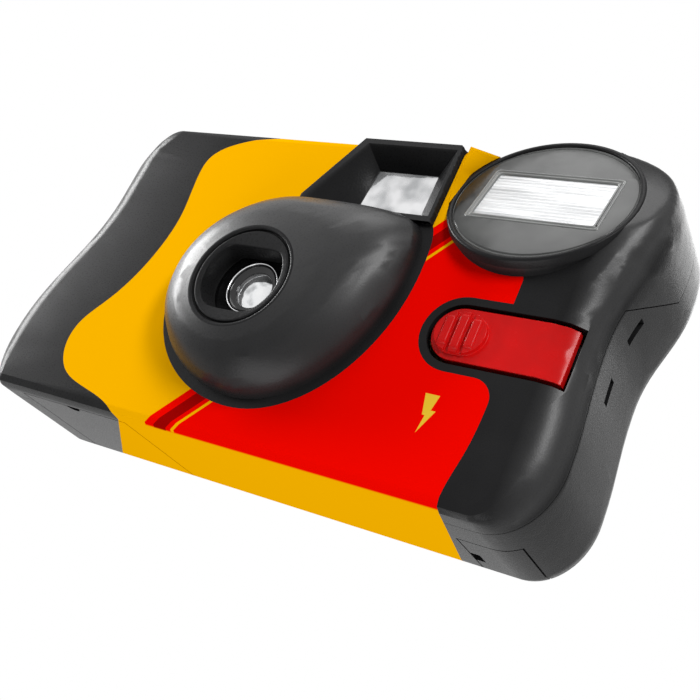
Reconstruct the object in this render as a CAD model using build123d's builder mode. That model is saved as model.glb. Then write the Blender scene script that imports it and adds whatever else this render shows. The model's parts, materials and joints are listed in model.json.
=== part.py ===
from build123d import *
import math
import os

# A single-use 35 mm film camera with a flash, in millimetres. X runs to the right as seen from the
# front, the front faces -Y, +Z is up, and the origin is the middle of the face it stands on.

os.makedirs("parts", exist_ok=True)

# Housing outline, as half widths left and right of the lens side's middle line, and heights.
body_depth = 30.0
body_height = 60.0
hump_height = 66.8
left_foot = 58.0
left_waist = 50.6
left_sole = 51.0
left_crown = 41.0
left_foot_z = 10.5
left_waist_z = 44.0
left_neck_z = 50.4
right_foot = 55.6
right_waist = 54.5
right_shoulder = 58.2
right_sole = 46.0
right_foot_z = 11.8
right_waist_z = 31.5
right_shoulder_z = 52.5
hump_start = 19.0
hump_middle = 38.0
side_round = 6.5
edge_round = 1.6
rear_round = 4.5

# Walls, fits and cuts.
wall = 1.6
frame_wall = 1.2
label_t = 0.3
gap = 0.3
running_fit = 0.05
panel_gap = 0.25
overrun = 1.0
parting_depth = 6.0

# Film, cassette, cell and optics, whose sizes are standard.
gate_width = 36.0
gate_height = 24.0
film_width = 35.0
film_t = 0.2
film_plane = 26.3
cassette_r = 12.5
cassette_height = 47.0
cell_r = 7.25
cell_height = 50.5
lens_x = -1.5
lens_z = 25.5

front_y = -body_depth / 2
rear_y = body_depth / 2
film_y = front_y + film_plane
parting_y = front_y + parting_depth
round_share = math.sqrt(0.5)
pull_share = 0.42


def block(x, y, z, mode=Mode.ADD):
    """A box between two values of X, of Y and of Z."""
    with Locations(((x[0] + x[1]) / 2, (y[0] + y[1]) / 2, (z[0] + z[1]) / 2)):
        Box(x[1] - x[0], y[1] - y[0], z[1] - z[0], mode=mode)


def post(centre, radius, z, mode=Mode.ADD):
    """An upright round post at (X, Y) between two heights."""
    with Locations((centre[0], centre[1], (z[0] + z[1]) / 2)):
        Cylinder(radius, z[1] - z[0], mode=mode)


def stud(centre, radius, y, mode=Mode.ADD):
    """A round stud along Y at (X, Z) between two depths."""
    with Locations((centre[0], (y[0] + y[1]) / 2, centre[1])):
        Cylinder(radius, y[1] - y[0], rotation=(90, 0, 0), mode=mode)


def bar(centre, radius, x, mode=Mode.ADD):
    """A round bar along X at (Y, Z) between two values of X."""
    with Locations(((x[0] + x[1]) / 2, centre[0], centre[1])):
        Cylinder(radius, x[1] - x[0], rotation=(0, 90, 0), mode=mode)


def crown_arc(radius, edge_y, apex_y):
    """An arc of a sphere's section from its edge at (radius, Y) to its apex at (0, Y)."""
    rise = apex_y - edge_y
    ball = (radius**2 + rise**2) / (2 * rise)
    turn = math.asin(radius / ball) / 2
    ThreePointArc((radius, edge_y), (ball * math.sin(turn), apex_y - ball * (1 - math.cos(turn))), (0, apex_y))


def link(start, end, width):
    """A straight arm with round ends between two points of a sketch."""
    turn = math.degrees(math.atan2(end[1] - start[1], end[0] - start[0]))
    with Locations(((start[0] + end[0]) / 2, (start[1] + end[1]) / 2)):
        SlotOverall(math.dist(start, end) + width, width, rotation=turn)


def finish(piece, name):
    """Label a finished piece and write it."""
    piece.part.label = name
    export_step(piece.part, f"parts/{name}.step")


def quarter(start, corner, end, pull=round_share):
    """A quarter of an ellipse from start to end, round the corner, which more pull fills further."""
    Bezier(start, corner, end, weights=[1, pull, 1])


def sway(start, end):
    """An S curve between two points, upright at both."""
    pull = (end[1] - start[1]) * pull_share
    Bezier(start, (start[0], start[1] + pull), (end[0], end[1] - pull), end)


def housing_outline(side, edge):
    """The front view, drawn in by side at the two ends and the hump and by edge at floor and roof."""
    roof = body_height - edge
    hump = hump_height - side
    foot_l = (side - left_foot, left_foot_z)
    waist_l = (side - left_waist, left_waist_z)
    neck_l = (side - left_waist, left_neck_z)
    crown_l = (-left_crown, roof)
    start = (hump_start, roof)
    top = (hump_middle, hump)
    shoulder = (right_shoulder - side, right_shoulder_z)
    waist_r = (right_waist - side, right_waist_z)
    foot_r = (right_foot - side, right_foot_z)
    sole_r = (right_sole, edge)
    sole_l = (-left_sole, edge)
    rise = (top[0] - start[0]) * pull_share
    fall = (shoulder[0] - top[0]) * round_share
    drop = (top[1] - shoulder[1]) * round_share
    quarter(sole_l, (foot_l[0], edge), foot_l)
    sway(foot_l, waist_l)
    Line(waist_l, neck_l)
    quarter(neck_l, (neck_l[0], roof), crown_l)
    Line(crown_l, start)
    Bezier(start, (start[0] + rise, roof), (top[0] - rise, hump), top)
    Bezier(top, (top[0] + fall, hump), (shoulder[0], shoulder[1] + drop), shoulder)
    sway(shoulder, waist_r)
    sway(waist_r, foot_r)
    quarter(foot_r, (foot_r[0], edge), sole_r)
    Line(sole_r, sole_l)


def rounding(radius, depth):
    """How far a rounded edge is drawn in at a depth behind its face."""
    rest = max(radius - depth, 0)
    return radius - math.sqrt(radius**2 - rest**2)


def housing_form(skin, steps):
    """The closed housing, drawn in all over by skin, as a loft through outlines from front to back."""
    levels = []
    for i in range(steps + 1):
        turn = math.radians(90 * i / steps)
        depth = (side_round - skin) * (1 - math.cos(turn))
        levels.append((front_y + skin + depth, side_round - skin, edge_round - skin * round_share, depth))
    for i in range(steps, -1, -1):
        turn = math.radians(90 * i / steps)
        depth = (rear_round - skin) * (1 - math.cos(turn))
        levels.append((rear_y - skin - depth, rear_round - skin, rear_round - skin, depth))
    with BuildPart() as form:
        for y, side_r, edge_r, depth in levels:
            with BuildSketch(Plane.XZ.offset(-y)):
                with BuildLine():
                    housing_outline(skin + rounding(side_r, depth), skin + rounding(edge_r, depth))
                make_face()
        loft(ruled=True)
    return form.part


outer_form = housing_form(0, 4)
skin_form = housing_form(label_t, 4)
cavity_form = housing_form(wall, 2)

# Lens dome: a lopsided hollow cone from an oval foot up to the round lens well.
dome_x = 0.6
dome_z = 27.2
dome_width = 46.6
dome_tall = 41.4
dome_lift = 8.3
dome_rim = 1.7
dome_rise = 9.0
crown_rim = 0.4
well_r = 9.2
dome_height_shares = (0, 0.26, 0.54, 0.78, 0.94, 1)
dome_spread_shares = (1, 0.95, 0.81, 0.59, 0.31, 0)
dome_fill_share = 1.8


def dome_outline(centre, reach, spread):
    """An oval round (X, Z). The more its spread, the higher and fuller its right shoulder."""
    x, z = centre
    left, right = x - reach[0], x + reach[0]
    low, high = z - reach[1], z + reach[1]
    shoulder = z + dome_lift * spread
    quarter((left, z), (left, low), (x, low))
    quarter((x, low), (right, low), (right, shoulder))
    quarter((right, shoulder), (right, high), (x, high), round_share + dome_fill_share * spread)
    quarter((x, high), (left, high), (left, z))


def dome_form(skin, root):
    """The dome, drawn in by skin, from behind the front wall to its top."""
    foot = (dome_width / 2 - dome_rim - skin, dome_tall / 2 - dome_rim - skin)
    crown = well_r + crown_rim - skin
    levels = [(-root, 1)]
    for rise, spread in zip(dome_height_shares, dome_spread_shares):
        levels.append(((dome_rise - skin) * rise, spread))
    with BuildPart() as form:
        for height, spread in levels:
            centre = (lens_x + (dome_x - lens_x) * spread, lens_z + (dome_z - lens_z) * spread)
            reach = [crown + (size - crown) * spread for size in foot]
            with BuildSketch(Plane.XZ.offset(height - front_y)):
                with BuildLine():
                    dome_outline(centre, reach, spread)
                make_face()
        loft(ruled=True)
    return form.part


# Flash turret: a round ring whose face leans back, let into the hump.
turret_x = 38.1
turret_drop = 7.0
turret_z = body_height - turret_drop
turret_setback = 2.0
turret_lean = 18.0
turret_r = 15.4
bezel_r = 14.7
turret_bore = 12.6
turret_length = 9.0
turret_lip = 0.3
bezel_t = 1.3
lean = math.radians(turret_lean)
turret_plane = Plane(
    origin=(turret_x, front_y + turret_setback, turret_z),
    x_dir=(1, 0, 0),
    z_dir=(0, -math.cos(lean), math.sin(lean)),
)

# Viewfinder hood: four walls that stand a little proud of the front, round a tapering recess.
hood_proud = 1.0
hood_wall = 1.0
hood_foot_left = -4.8
hood_top_left = 2.8
hood_right = 22.4
hood_height = 15.4
hood_knee = 2.6
hood_foot_z = body_height - hood_height
window_left = 4.6
window_right = 17.4
window_drop = 3.8
window_height = 10.4
window_top_z = body_height - window_drop
window_foot_z = window_top_z - window_height
window_setback = 3.0

# Flash button opening and the button in it.
opening_left = 29.4
opening_right = 52.6
opening_foot_z = 21.4
opening_top_z = 31.6
button_gap = 0.7
button_t = 2.2


def button_outline(shrink):
    """The opening's outline with a round left end, drawn in by shrink."""
    half = (opening_top_z - opening_foot_z) / 2
    middle = opening_foot_z + half
    with Locations((opening_left + half, middle)):
        Circle(half - shrink)
    right = opening_right - shrink
    with Locations(((opening_left + half + right) / 2, middle)):
        Rectangle(right - opening_left - half, 2 * (half - shrink))


def hood_outline(grow):
    """The viewfinder hood's front view, made larger all round by grow."""
    Polyline(
        (hood_foot_left - grow, hood_foot_z - grow),
        (hood_foot_left - grow, hood_foot_z + hood_knee),
        (hood_top_left - grow, body_height),
        (hood_right + grow, body_height),
        (hood_right + grow, hood_foot_z - grow),
        close=True,
    )


# Doors in the underside, under the cassette and under the cell. Each swings on its rear edge.
cassette_x = -33.5
cassette_y = 0.2
film_door_left = -46.6
film_door_right = -20.2
film_door_front = -12.1
film_door_rear = 13.0
cell_x = 45.0
cell_y = 5.3
cell_door_left = 40.2
cell_door_right = 50.6
cell_door_front = -2.4
cell_door_rear = 12.6
notch_r = 1.6

# Label: a printed plastic wrap, let into the covers by its own thickness.
label_left_shares = ((-0.25, 1), (-0.445, 0.95), (-0.525, 0.885), (-0.53, 0.82), (-0.51, 0.67),
                     (-0.525, 0.54), (-0.62, 0.335), (-0.68, 0.245), (-0.685, 0.175), (-0.64, 0.10),
                     (-0.545, 0.06), (-0.40, 0.022))
label_right = 41.6
label_bulge = 1.6
label_pull_share = 0.33
label_corner = 3.6
label_margin = 1.3
label_ear_right = 41.0
label_ear_z = 38.4
label_ear_corner = 1.5
label_foot_left = -21.0
label_foot_rear_left = -39.0
label_foot_rear_right = 36.5
label_roof_left = -14.5
label_roof_rear_left = -10.5
label_roof_right = 22.8
counter_window_x = -7.6
counter_window_y = 4.0
counter_window_r = 2.2
eyepiece_left = 6.2
eyepiece_right = 15.8
eyepiece_drop = 4.6
eyepiece_height = 8.0
eyepiece_top_z = body_height - eyepiece_drop
eyepiece_foot_z = eyepiece_top_z - eyepiece_height
front_band = edge_round + label_t
rear_band = rear_round


def label_path():
    """The front panel's outline, clockwise from the roof at the left."""
    half = (opening_top_z - opening_foot_z) / 2 + label_margin
    turn_x = opening_left - label_margin + half
    low = opening_foot_z - label_margin
    high = opening_top_z + label_margin
    left = [(x * left_foot, z * body_height) for x, z in label_left_shares]
    Spline(*left)
    Line(left[-1], (label_foot_left, 0))
    Line((label_foot_left, 0), (label_right, 0))
    bulge_x = label_right + label_bulge
    Bezier((label_right, 0), (label_right, low * label_pull_share), (bulge_x, low * label_pull_share), (bulge_x, low - label_corner))
    quarter((bulge_x, low - label_corner), (bulge_x, low), (bulge_x - label_corner, low))
    Line((bulge_x - label_corner, low), (turn_x, low))
    ThreePointArc((turn_x, low), (turn_x - half, low + half), (turn_x, high))
    Line((turn_x, high), (label_ear_right, high))
    Line((label_ear_right, high), (label_ear_right, label_ear_z - label_ear_corner))
    quarter(
        (label_ear_right, label_ear_z - label_ear_corner),
        (label_ear_right, label_ear_z),
        (label_ear_right - label_ear_corner, label_ear_z),
    )
    Line((label_ear_right - label_ear_corner, label_ear_z), (turret_x, label_ear_z + label_corner))
    Line((turret_x, label_ear_z + label_corner), (label_roof_right, turret_z))
    Line((label_roof_right, turret_z), (label_roof_right, hump_height))
    Line((label_roof_right, hump_height), (left[0][0], hump_height))
    Line((left[0][0], hump_height), left[0])


with BuildPart() as label_keep:
    with BuildSketch(Plane.XZ.offset(-front_y - front_band)):
        with BuildLine():
            label_path()
        make_face()
        with BuildLine():
            hood_outline(0)
        make_face(mode=Mode.SUBTRACT)
        with BuildLine():
            dome_outline((dome_x, dome_z), (dome_width / 2, dome_tall / 2), 1)
        make_face(mode=Mode.SUBTRACT)
    extrude(amount=front_band + overrun)
    with BuildSketch(Plane.XZ.offset(-rear_y - overrun)):
        with BuildLine():
            Polyline(
                (label_foot_rear_left, 0),
                (label_foot_rear_right, 0),
                (label_roof_right, body_height + overrun),
                (label_roof_rear_left, body_height + overrun),
                close=True,
            )
        make_face()
        with Locations(((eyepiece_left + eyepiece_right) / 2, (eyepiece_foot_z + eyepiece_top_z) / 2)):
            Rectangle(
                eyepiece_right - eyepiece_left + 2 * label_margin,
                eyepiece_top_z - eyepiece_foot_z + 2 * label_margin,
                mode=Mode.SUBTRACT,
            )
    extrude(amount=rear_band + overrun)
    with BuildSketch(Plane.XY.offset(-overrun)):
        with BuildLine():
            Polyline(
                (label_foot_left, front_y + front_band),
                (label_right, front_y + front_band),
                (label_foot_rear_right, rear_y - rear_band),
                (label_foot_rear_left, rear_y - rear_band),
                close=True,
            )
        make_face()
    extrude(amount=overrun + wall)
    with BuildSketch(Plane.XY.offset(body_height - wall)):
        with BuildLine():
            Polyline(
                (label_roof_left, front_y + front_band),
                (label_roof_right, front_y + front_band),
                (label_roof_right, rear_y - rear_band),
                (label_roof_rear_left, rear_y - rear_band),
                close=True,
            )
        make_face()
        with Locations((counter_window_x, counter_window_y)):
            Circle(counter_window_r + label_margin, mode=Mode.SUBTRACT)
    extrude(amount=hump_height - body_height)

with BuildPart() as label_all:
    add(outer_form)
    add(skin_form, mode=Mode.SUBTRACT)
    add(label_keep.part, mode=Mode.INTERSECT)
    with Locations(turret_plane):
        Cylinder(turret_r, 4 * turret_length, mode=Mode.SUBTRACT)
    block((cell_door_left, cell_door_right), (cell_door_front, cell_door_rear), (-overrun, wall), Mode.SUBTRACT)
    with BuildSketch(Plane.XZ.offset(-front_y - window_setback)):
        with BuildLine():
            hood_outline(0)
        make_face()
    extrude(amount=window_setback + hood_proud, mode=Mode.SUBTRACT)

film_door_x = (film_door_left, film_door_right)
film_door_y = (film_door_front, film_door_rear)
door_z = (-overrun, wall + overrun)
cell_door_z = (-overrun, 2 * wall + overrun)

with BuildPart() as label_wrap:
    add(label_all.part)
    block(film_door_x, film_door_y, door_z, Mode.SUBTRACT)
finish(label_wrap, "label_wrap")

with BuildPart() as label_flap:
    add(label_all.part)
    block(
        (film_door_left + panel_gap, film_door_right - panel_gap),
        (film_door_front + panel_gap, film_door_rear - panel_gap),
        door_z,
        Mode.INTERSECT,
    )
finish(label_flap, "label_flap")

# Thumbwheel, whose rim stands in a scoop of the rear wall, and the openings of the rear cover.
wheel_r = 13.0
wheel_drop = 6.9
wheel_z = body_height - wheel_drop
wheel_t = 2.6
scoop_depth = 3.4
scoop_half = 9.5
scoop_drop = 7.5
scoop_height = 5.1
scoop_foot_z = body_height - scoop_drop
scoop_top_z = scoop_foot_z + scoop_height
button_x = -21.0
button_y = -2.6
button_length = 12.0
button_width = 7.6
button_travel = 1.2
lamp_x = 22.8
lamp_drop = 6.6
lamp_z = body_height - lamp_drop
lamp_r = 1.6
snap_width = 1.6
snap_height = 4.2
snap_y = -3.4
snap_levels = (25.4, 36.0)
snap_t = 1.0
snap_hook = 0.9
platen_width = 2.0
platen_x_shares = (-0.3, 0.0, 0.3)
ear_t = 2.0
ear_width = 3.6
ear_gap = 0.5
hinge_r = 1.0
hinge_x = 50.3
hinge_y = -10.9
well_depth = 4.0
well_foot_r = 6.9

front_zone_far = 90.0
seam_low_z = 38.0
seam_high_z = 48.0
seam_setback = 13.0
zone_left = turret_x - turret_r - wall


def front_zone(pad):
    """The space in front of the joint between the covers, which steps back behind the turret."""
    with BuildPart() as zone:
        block((-front_zone_far, front_zone_far), (-front_zone_far, parting_y - pad), (-front_zone_far, front_zone_far))
        with BuildSketch(Plane.YZ.offset(zone_left + pad)):
            with BuildLine():
                Polyline(
                    (parting_y - pad - overrun, seam_low_z + pad),
                    (parting_y - pad, seam_low_z + pad),
                    (parting_y - pad + seam_setback, seam_high_z + pad),
                    (parting_y - pad + seam_setback, front_zone_far),
                    (parting_y - pad - overrun, front_zone_far),
                    close=True,
                )
            make_face()
        extrude(amount=front_zone_far)
    return zone.part


with BuildPart() as shell:
    add(outer_form)
    add(cavity_form, mode=Mode.SUBTRACT)

# Front cover: one moulding with dome, hood and turret.
with BuildPart() as front_cover:
    add(shell.part)
    add(front_zone(0), mode=Mode.INTERSECT)
    add(label_all.part, mode=Mode.SUBTRACT)
    block(film_door_x, film_door_y, door_z, Mode.SUBTRACT)
    add(dome_form(0, wall))
    add(dome_form(wall, wall + overrun), mode=Mode.SUBTRACT)
    block(
        (hood_foot_left, dome_x + dome_width / 2),
        (front_y - dome_rise - overrun, front_y - hood_proud / 2),
        (hood_foot_z, body_height),
        Mode.SUBTRACT,
    )
    with BuildSketch(Plane.XZ.offset(-front_y - window_setback)):
        with BuildLine():
            hood_outline(0)
        make_face()
    extrude(amount=window_setback + hood_proud)
    with BuildSketch(Plane.XZ.offset(-front_y + hood_proud)):
        with BuildLine():
            Polyline(
                (hood_foot_left + hood_wall, hood_foot_z + hood_wall),
                (hood_foot_left + hood_wall, hood_foot_z + hood_knee),
                (hood_top_left + hood_wall, body_height - hood_wall),
                (hood_right - hood_wall, body_height - hood_wall),
                (hood_right - hood_wall, hood_foot_z + hood_wall),
                close=True,
            )
        make_face()
    with BuildSketch(Plane.XZ.offset(-front_y - window_setback)):
        with BuildLine():
            middle_z = window_foot_z + hood_wall
            Polyline(
                (window_left, window_foot_z),
                (window_left, middle_z),
                (window_left + hood_wall, window_top_z),
                (window_right, window_top_z),
                (window_right, window_foot_z),
                close=True,
            )
        make_face()
    loft(ruled=True, mode=Mode.SUBTRACT)
    with Locations(turret_plane.offset(turret_lip - turret_length / 2)):
        Cylinder(turret_r, turret_length)
    with Locations(turret_plane):
        Cylinder(turret_bore, 2 * turret_length + overrun, mode=Mode.SUBTRACT)
        Cylinder(bezel_r + running_fit, 2 * bezel_t, mode=Mode.SUBTRACT)
    with BuildSketch(Plane.XZ.offset(-front_y + overrun)):
        button_outline(0)
    extrude(amount=-parting_depth, mode=Mode.SUBTRACT)
    stud((lens_x, lens_z), well_r, (front_y - dome_rise, front_y - dome_rise + well_depth))
    with BuildSketch(Plane.XZ.offset(-front_y + dome_rise)):
        with Locations((lens_x, lens_z)):
            Circle(well_r - wall)
    with BuildSketch(Plane.XZ.offset(-front_y + dome_rise - well_depth)):
        with Locations((lens_x, lens_z)):
            Circle(well_foot_r)
    loft(mode=Mode.SUBTRACT)
    for low in (opening_foot_z - ear_gap - ear_t, opening_top_z + ear_gap):
        block(
            (hinge_x - ear_width / 2, hinge_x + ear_width / 2),
            (hinge_y - ear_width / 2, hinge_y + ear_width / 2),
            (low, low + ear_t),
        )
        post((hinge_x, hinge_y), hinge_r + running_fit, (low - overrun, low + ear_t + overrun), Mode.SUBTRACT)
    tongue_x = right_waist - wall - gap
    for level in snap_levels:
        tongue_z = (level + gap, level + snap_height - gap)
        block((tongue_x - snap_t, tongue_x), (parting_y - 2 * wall, snap_y + snap_width), tongue_z)
        block((tongue_x - snap_t, tongue_x + wall), (parting_y - 2 * wall, parting_y - gap), tongue_z)
        block((tongue_x - snap_t, tongue_x + snap_hook), (snap_y + gap, snap_y + snap_width - gap), tongue_z)
finish(front_cover, "front_cover")

# Rear cover: one moulding with eyepiece, scoop and slot for the thumbwheel, and platen ribs.
with BuildPart() as rear_cover:
    add(shell.part)
    add(front_zone(-panel_gap / 2), mode=Mode.SUBTRACT)
    add(label_all.part, mode=Mode.SUBTRACT)
    block(film_door_x, film_door_y, door_z, Mode.SUBTRACT)
    block((cell_door_left, cell_door_right), (cell_door_front, cell_door_rear), cell_door_z, Mode.SUBTRACT)
    with Locations(turret_plane.offset(-turret_length / 2)):
        Cylinder(turret_r + panel_gap, turret_length + 2 * gap, mode=Mode.SUBTRACT)
    scoop_x = (cassette_x - scoop_half, cassette_x + scoop_half)
    block(
        (scoop_x[0] - wall, scoop_x[1] + wall),
        (rear_y - scoop_depth - wall, rear_y - wall),
        (scoop_foot_z - wall, body_height - wall),
    )
    with Locations((cassette_x, rear_y + scoop_half, (scoop_foot_z + scoop_top_z) / 2)):
        Cylinder(scoop_half + scoop_depth, scoop_top_z - scoop_foot_z, mode=Mode.SUBTRACT)
    post((cassette_x, cassette_y), wheel_r + gap, (wheel_z - gap, wheel_z + wheel_t + gap), Mode.SUBTRACT)
    block(
        (eyepiece_left, eyepiece_right),
        (rear_y - wall - overrun, rear_y + overrun),
        (eyepiece_foot_z, eyepiece_top_z),
        Mode.SUBTRACT,
    )
    stud((lamp_x, lamp_z), lamp_r, (rear_y - wall - overrun, rear_y + overrun), Mode.SUBTRACT)
    with BuildSketch(Plane.XY.offset(body_height - wall - overrun)):
        with Locations((button_x, button_y)):
            SlotOverall(button_length + 2 * gap, button_width + 2 * gap)
        with Locations((counter_window_x, counter_window_y)):
            Circle(counter_window_r)
    extrude(amount=wall + 2 * overrun, mode=Mode.SUBTRACT)
    post((cassette_x, cassette_y), cassette_r + gap, (wall + panel_gap, scoop_foot_z - wall), Mode.SUBTRACT)
    for share in platen_x_shares:
        rib_x = lens_x + share * gate_width
        block(
            (rib_x - platen_width / 2, rib_x + platen_width / 2),
            (film_y + film_t + gap, rear_y - wall),
            (lens_z - film_width / 2, lens_z + film_width / 2),
        )
    for level in snap_levels:
        block(
            (right_waist - 3 * wall, right_foot + overrun),
            (snap_y, snap_y + snap_width),
            (level, level + snap_height),
            Mode.SUBTRACT,
        )
finish(rear_cover, "rear_cover")

# Doors: the parts of the underside that their outlines cut out, with a pry notch in each.
with BuildPart() as film_door:
    add(shell.part)
    block(
        (film_door_left + panel_gap, film_door_right - panel_gap),
        (film_door_front + panel_gap, film_door_rear - panel_gap),
        (-overrun, wall),
        Mode.INTERSECT,
    )
    add(label_all.part, mode=Mode.SUBTRACT)
    post((cassette_x, film_door_front), notch_r, door_z, Mode.SUBTRACT)
finish(film_door, "film_door")

with BuildPart() as battery_door:
    add(shell.part)
    block(
        (cell_door_left + panel_gap, cell_door_right - panel_gap),
        (cell_door_front + panel_gap, cell_door_rear - panel_gap),
        cell_door_z,
        Mode.INTERSECT,
    )
    block(
        (cell_door_left, cell_door_left + notch_r + panel_gap),
        (cell_y - notch_r, cell_y + notch_r),
        door_z,
        Mode.SUBTRACT,
    )
finish(battery_door, "battery_door")

# Main frame: gate, light box, film chambers, decks and cell cradle in one moulding.
gate_t = 1.2
rail = 0.2
plate_left = -20.4
plate_right = 18.0
chamber_r = cassette_r + 0.4 * frame_wall
roll_x = 27.4
roll_y = 3.1
roll_r = 8.5
roll_chamber_r = roll_r + frame_wall / 2
box_front = 13.0
light_box_y = front_y + wall + gap
deck_z = lens_z + cassette_height / 2 + gap
low_deck_z = lens_z + film_width / 2 + wall
foot_deck_z = lens_z - film_width / 2 - wall
deck_left = -46.6
deck_right = 2.0
low_deck_right = 37.0
hub_clear_r = 6.0
mount_r = 10.6
mount_front = -15.9
exposure_r = 3.4
sprocket_x = -11.0
sprocket_y = 4.6
shaft_r = 1.5
cradle_wall = 0.9
cradle_z = (7.0, 44.0)
cell_foot_z = 5.8
spacer_r = 7.6
spacer_inner_r = 6.8
spacer_rise = 1.1
blade_reach = 6.2
blade_rise = 0.9
pivot_r = 0.7
tab_window_left = -17.5
tab_window_right = -3.0
tab_window_low_z = 31.8
tab_window_z = 33.6
leg_x = -6.9
leg_y = -12.3
leg_width = 1.2
leg_slot = 3.4
lever_pin_r = 1.0
metering_x = -12.5
metering_y = -3.5
energy_x = -4.5
energy_y = -4.5
sprocket_r = 6.05
sprocket_tip = 0.35
sprocket_z = 39.0
sprocket_t = 1.4
bearing_z = 36.4
cover_z = 52.9
film_window_y = film_y - gate_t - frame_wall
blade_pivot = (lens_x - blade_reach, lens_z + blade_rise)
finder_z = (low_deck_z + frame_wall, body_height - wall - gap)
finder_left = 2.3
finder_right = 19.7
deck_y = (front_y + wall + gap, rear_y - wall - gap)

with BuildPart() as frame_limit:
    add(housing_form(wall + gap, 2))
    stud((lens_x, lens_z), mount_r, (mount_front - overrun, 0))

with BuildPart() as main_frame:
    block((plate_left, plate_right), (film_y - rail - gate_t, film_y - rail), (foot_deck_z, low_deck_z))
    for level in (lens_z - film_width / 2, lens_z + film_width / 2 - frame_wall):
        block((plate_left, plate_right), (film_y - rail - gate_t, film_y), (level, level + frame_wall))
    with BuildSketch(Plane.XZ.offset(-film_y + rail + gate_t)):
        with Locations((lens_x, lens_z)):
            Rectangle(gate_width + 2 * frame_wall - overrun, gate_height + 2 * frame_wall)
    with BuildSketch(Plane.XZ.offset(-light_box_y)):
        with Locations((lens_x, lens_z)):
            Rectangle(box_front + 2 * frame_wall, box_front + 2 * frame_wall)
    loft(ruled=True)
    block((plate_left, plate_right), (light_box_y, light_box_y + frame_wall), (foot_deck_z, low_deck_z))
    stud((lens_x, lens_z), mount_r, (mount_front, light_box_y + frame_wall))
    post((cassette_x, cassette_y), chamber_r + frame_wall, (2 * wall + gap, deck_z + frame_wall))
    post((roll_x, roll_y), roll_chamber_r + frame_wall, (foot_deck_z, low_deck_z))
    post((cell_x, cell_y), cell_r + gap + cradle_wall, cradle_z)
    block((deck_left, deck_right), deck_y, (deck_z, deck_z + frame_wall))
    block((deck_right - frame_wall, low_deck_right), deck_y, (low_deck_z, low_deck_z + frame_wall))
    block((plate_left, low_deck_right), deck_y, (foot_deck_z - frame_wall, foot_deck_z))
    block((deck_right - frame_wall, deck_right), deck_y, (low_deck_z, deck_z + frame_wall))
    for side in (finder_left - frame_wall, finder_right):
        block((side, side + frame_wall), deck_y, finder_z)
    post((sprocket_x, sprocket_y), shaft_r + frame_wall, (bearing_z, sprocket_z - gap))
    post((cassette_x, cassette_y), chamber_r, (-overrun, deck_z), Mode.SUBTRACT)
    block(
        (cassette_x, plate_left),
        (film_window_y, rear_y),
        (0, deck_z),
        Mode.SUBTRACT,
    )
    post((cassette_x, cassette_y), hub_clear_r, (deck_z - overrun, deck_z + 2 * frame_wall), Mode.SUBTRACT)
    post((roll_x, roll_y), roll_chamber_r, (foot_deck_z, low_deck_z), Mode.SUBTRACT)
    post((roll_x, roll_y), shaft_r + running_fit, (foot_deck_z - wall, low_deck_z + wall), Mode.SUBTRACT)
    post((cell_x, cell_y), cell_r + gap, (0, body_height), Mode.SUBTRACT)
    block((cell_x, body_height), deck_y, cradle_z, Mode.SUBTRACT)
    block((low_deck_right, cell_x), (cell_y, rear_y), cradle_z, Mode.SUBTRACT)
    with BuildSketch(Plane.XZ.offset(-film_y - overrun)):
        with Locations((lens_x, lens_z)):
            Rectangle(gate_width, gate_height)
    with BuildSketch(Plane.XZ.offset(-light_box_y - frame_wall)):
        with Locations((lens_x, lens_z)):
            Rectangle(box_front, box_front)
    loft(ruled=True, mode=Mode.SUBTRACT)
    stud((lens_x, lens_z), exposure_r, (mount_front - overrun, light_box_y + 2 * frame_wall), Mode.SUBTRACT)
    block(
        (cassette_x, roll_x),
        (film_y - rail, rear_y),
        (foot_deck_z, low_deck_z),
        Mode.SUBTRACT,
    )
    block(
        (cassette_x, plate_left + overrun),
        (film_window_y, film_y),
        (foot_deck_z, low_deck_z),
        Mode.SUBTRACT,
    )
    block(
        (hood_foot_left - gap, hood_right + gap),
        (front_y, front_y + window_setback + gap),
        (hood_foot_z - gap, body_height),
        Mode.SUBTRACT,
    )
    with Locations(turret_plane.offset(-turret_length / 2)):
        Cylinder(turret_r + gap, turret_length + 2 * gap, mode=Mode.SUBTRACT)
    block(
        (scoop_x[0] - wall - gap, scoop_x[1] + wall + gap),
        (rear_y - scoop_depth - wall - gap, rear_y),
        (scoop_foot_z - wall - gap, body_height),
        Mode.SUBTRACT,
    )
    add(frame_limit.part, mode=Mode.INTERSECT)
    post((sprocket_x, sprocket_y), shaft_r + running_fit, (bearing_z + frame_wall, body_height), Mode.SUBTRACT)
    block(
        (sprocket_x - sprocket_r - frame_wall, sprocket_x + sprocket_r + frame_wall),
        (film_y - 2 * gate_t, film_y),
        (sprocket_z - gap, sprocket_z + sprocket_t + gap),
        Mode.SUBTRACT,
    )
    block(
        (tab_window_left, tab_window_right),
        (light_box_y - overrun, light_box_y + frame_wall),
        (tab_window_z, low_deck_z),
        Mode.SUBTRACT,
    )
    block(
        (tab_window_left, lens_x - box_front / 2 - 2 * frame_wall),
        (light_box_y - overrun, light_box_y + frame_wall),
        (tab_window_low_z, low_deck_z),
        Mode.SUBTRACT,
    )
    block(
        (leg_x - leg_slot, leg_x + leg_width),
        (light_box_y - overrun, leg_y + leg_width),
        (low_deck_z, body_height),
        Mode.SUBTRACT,
    )
    for pin in ((metering_x, metering_y), (energy_x, energy_y)):
        post(pin, lever_pin_r, (deck_z + frame_wall, cover_z))
    with BuildSketch(Plane.XZ.offset(-mount_front)):
        with Locations((lens_x, lens_z)):
            Circle(spacer_r)
            Circle(spacer_inner_r, mode=Mode.SUBTRACT)
        with Locations((lens_x - spacer_r, lens_z + spacer_r / 2)):
            Rectangle(2 * spacer_r, 3 * spacer_r, mode=Mode.SUBTRACT)
    extrude(amount=spacer_rise)
    stud(blade_pivot, pivot_r, (mount_front - spacer_rise, mount_front + frame_wall))
finish(main_frame, "main_frame")

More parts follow.
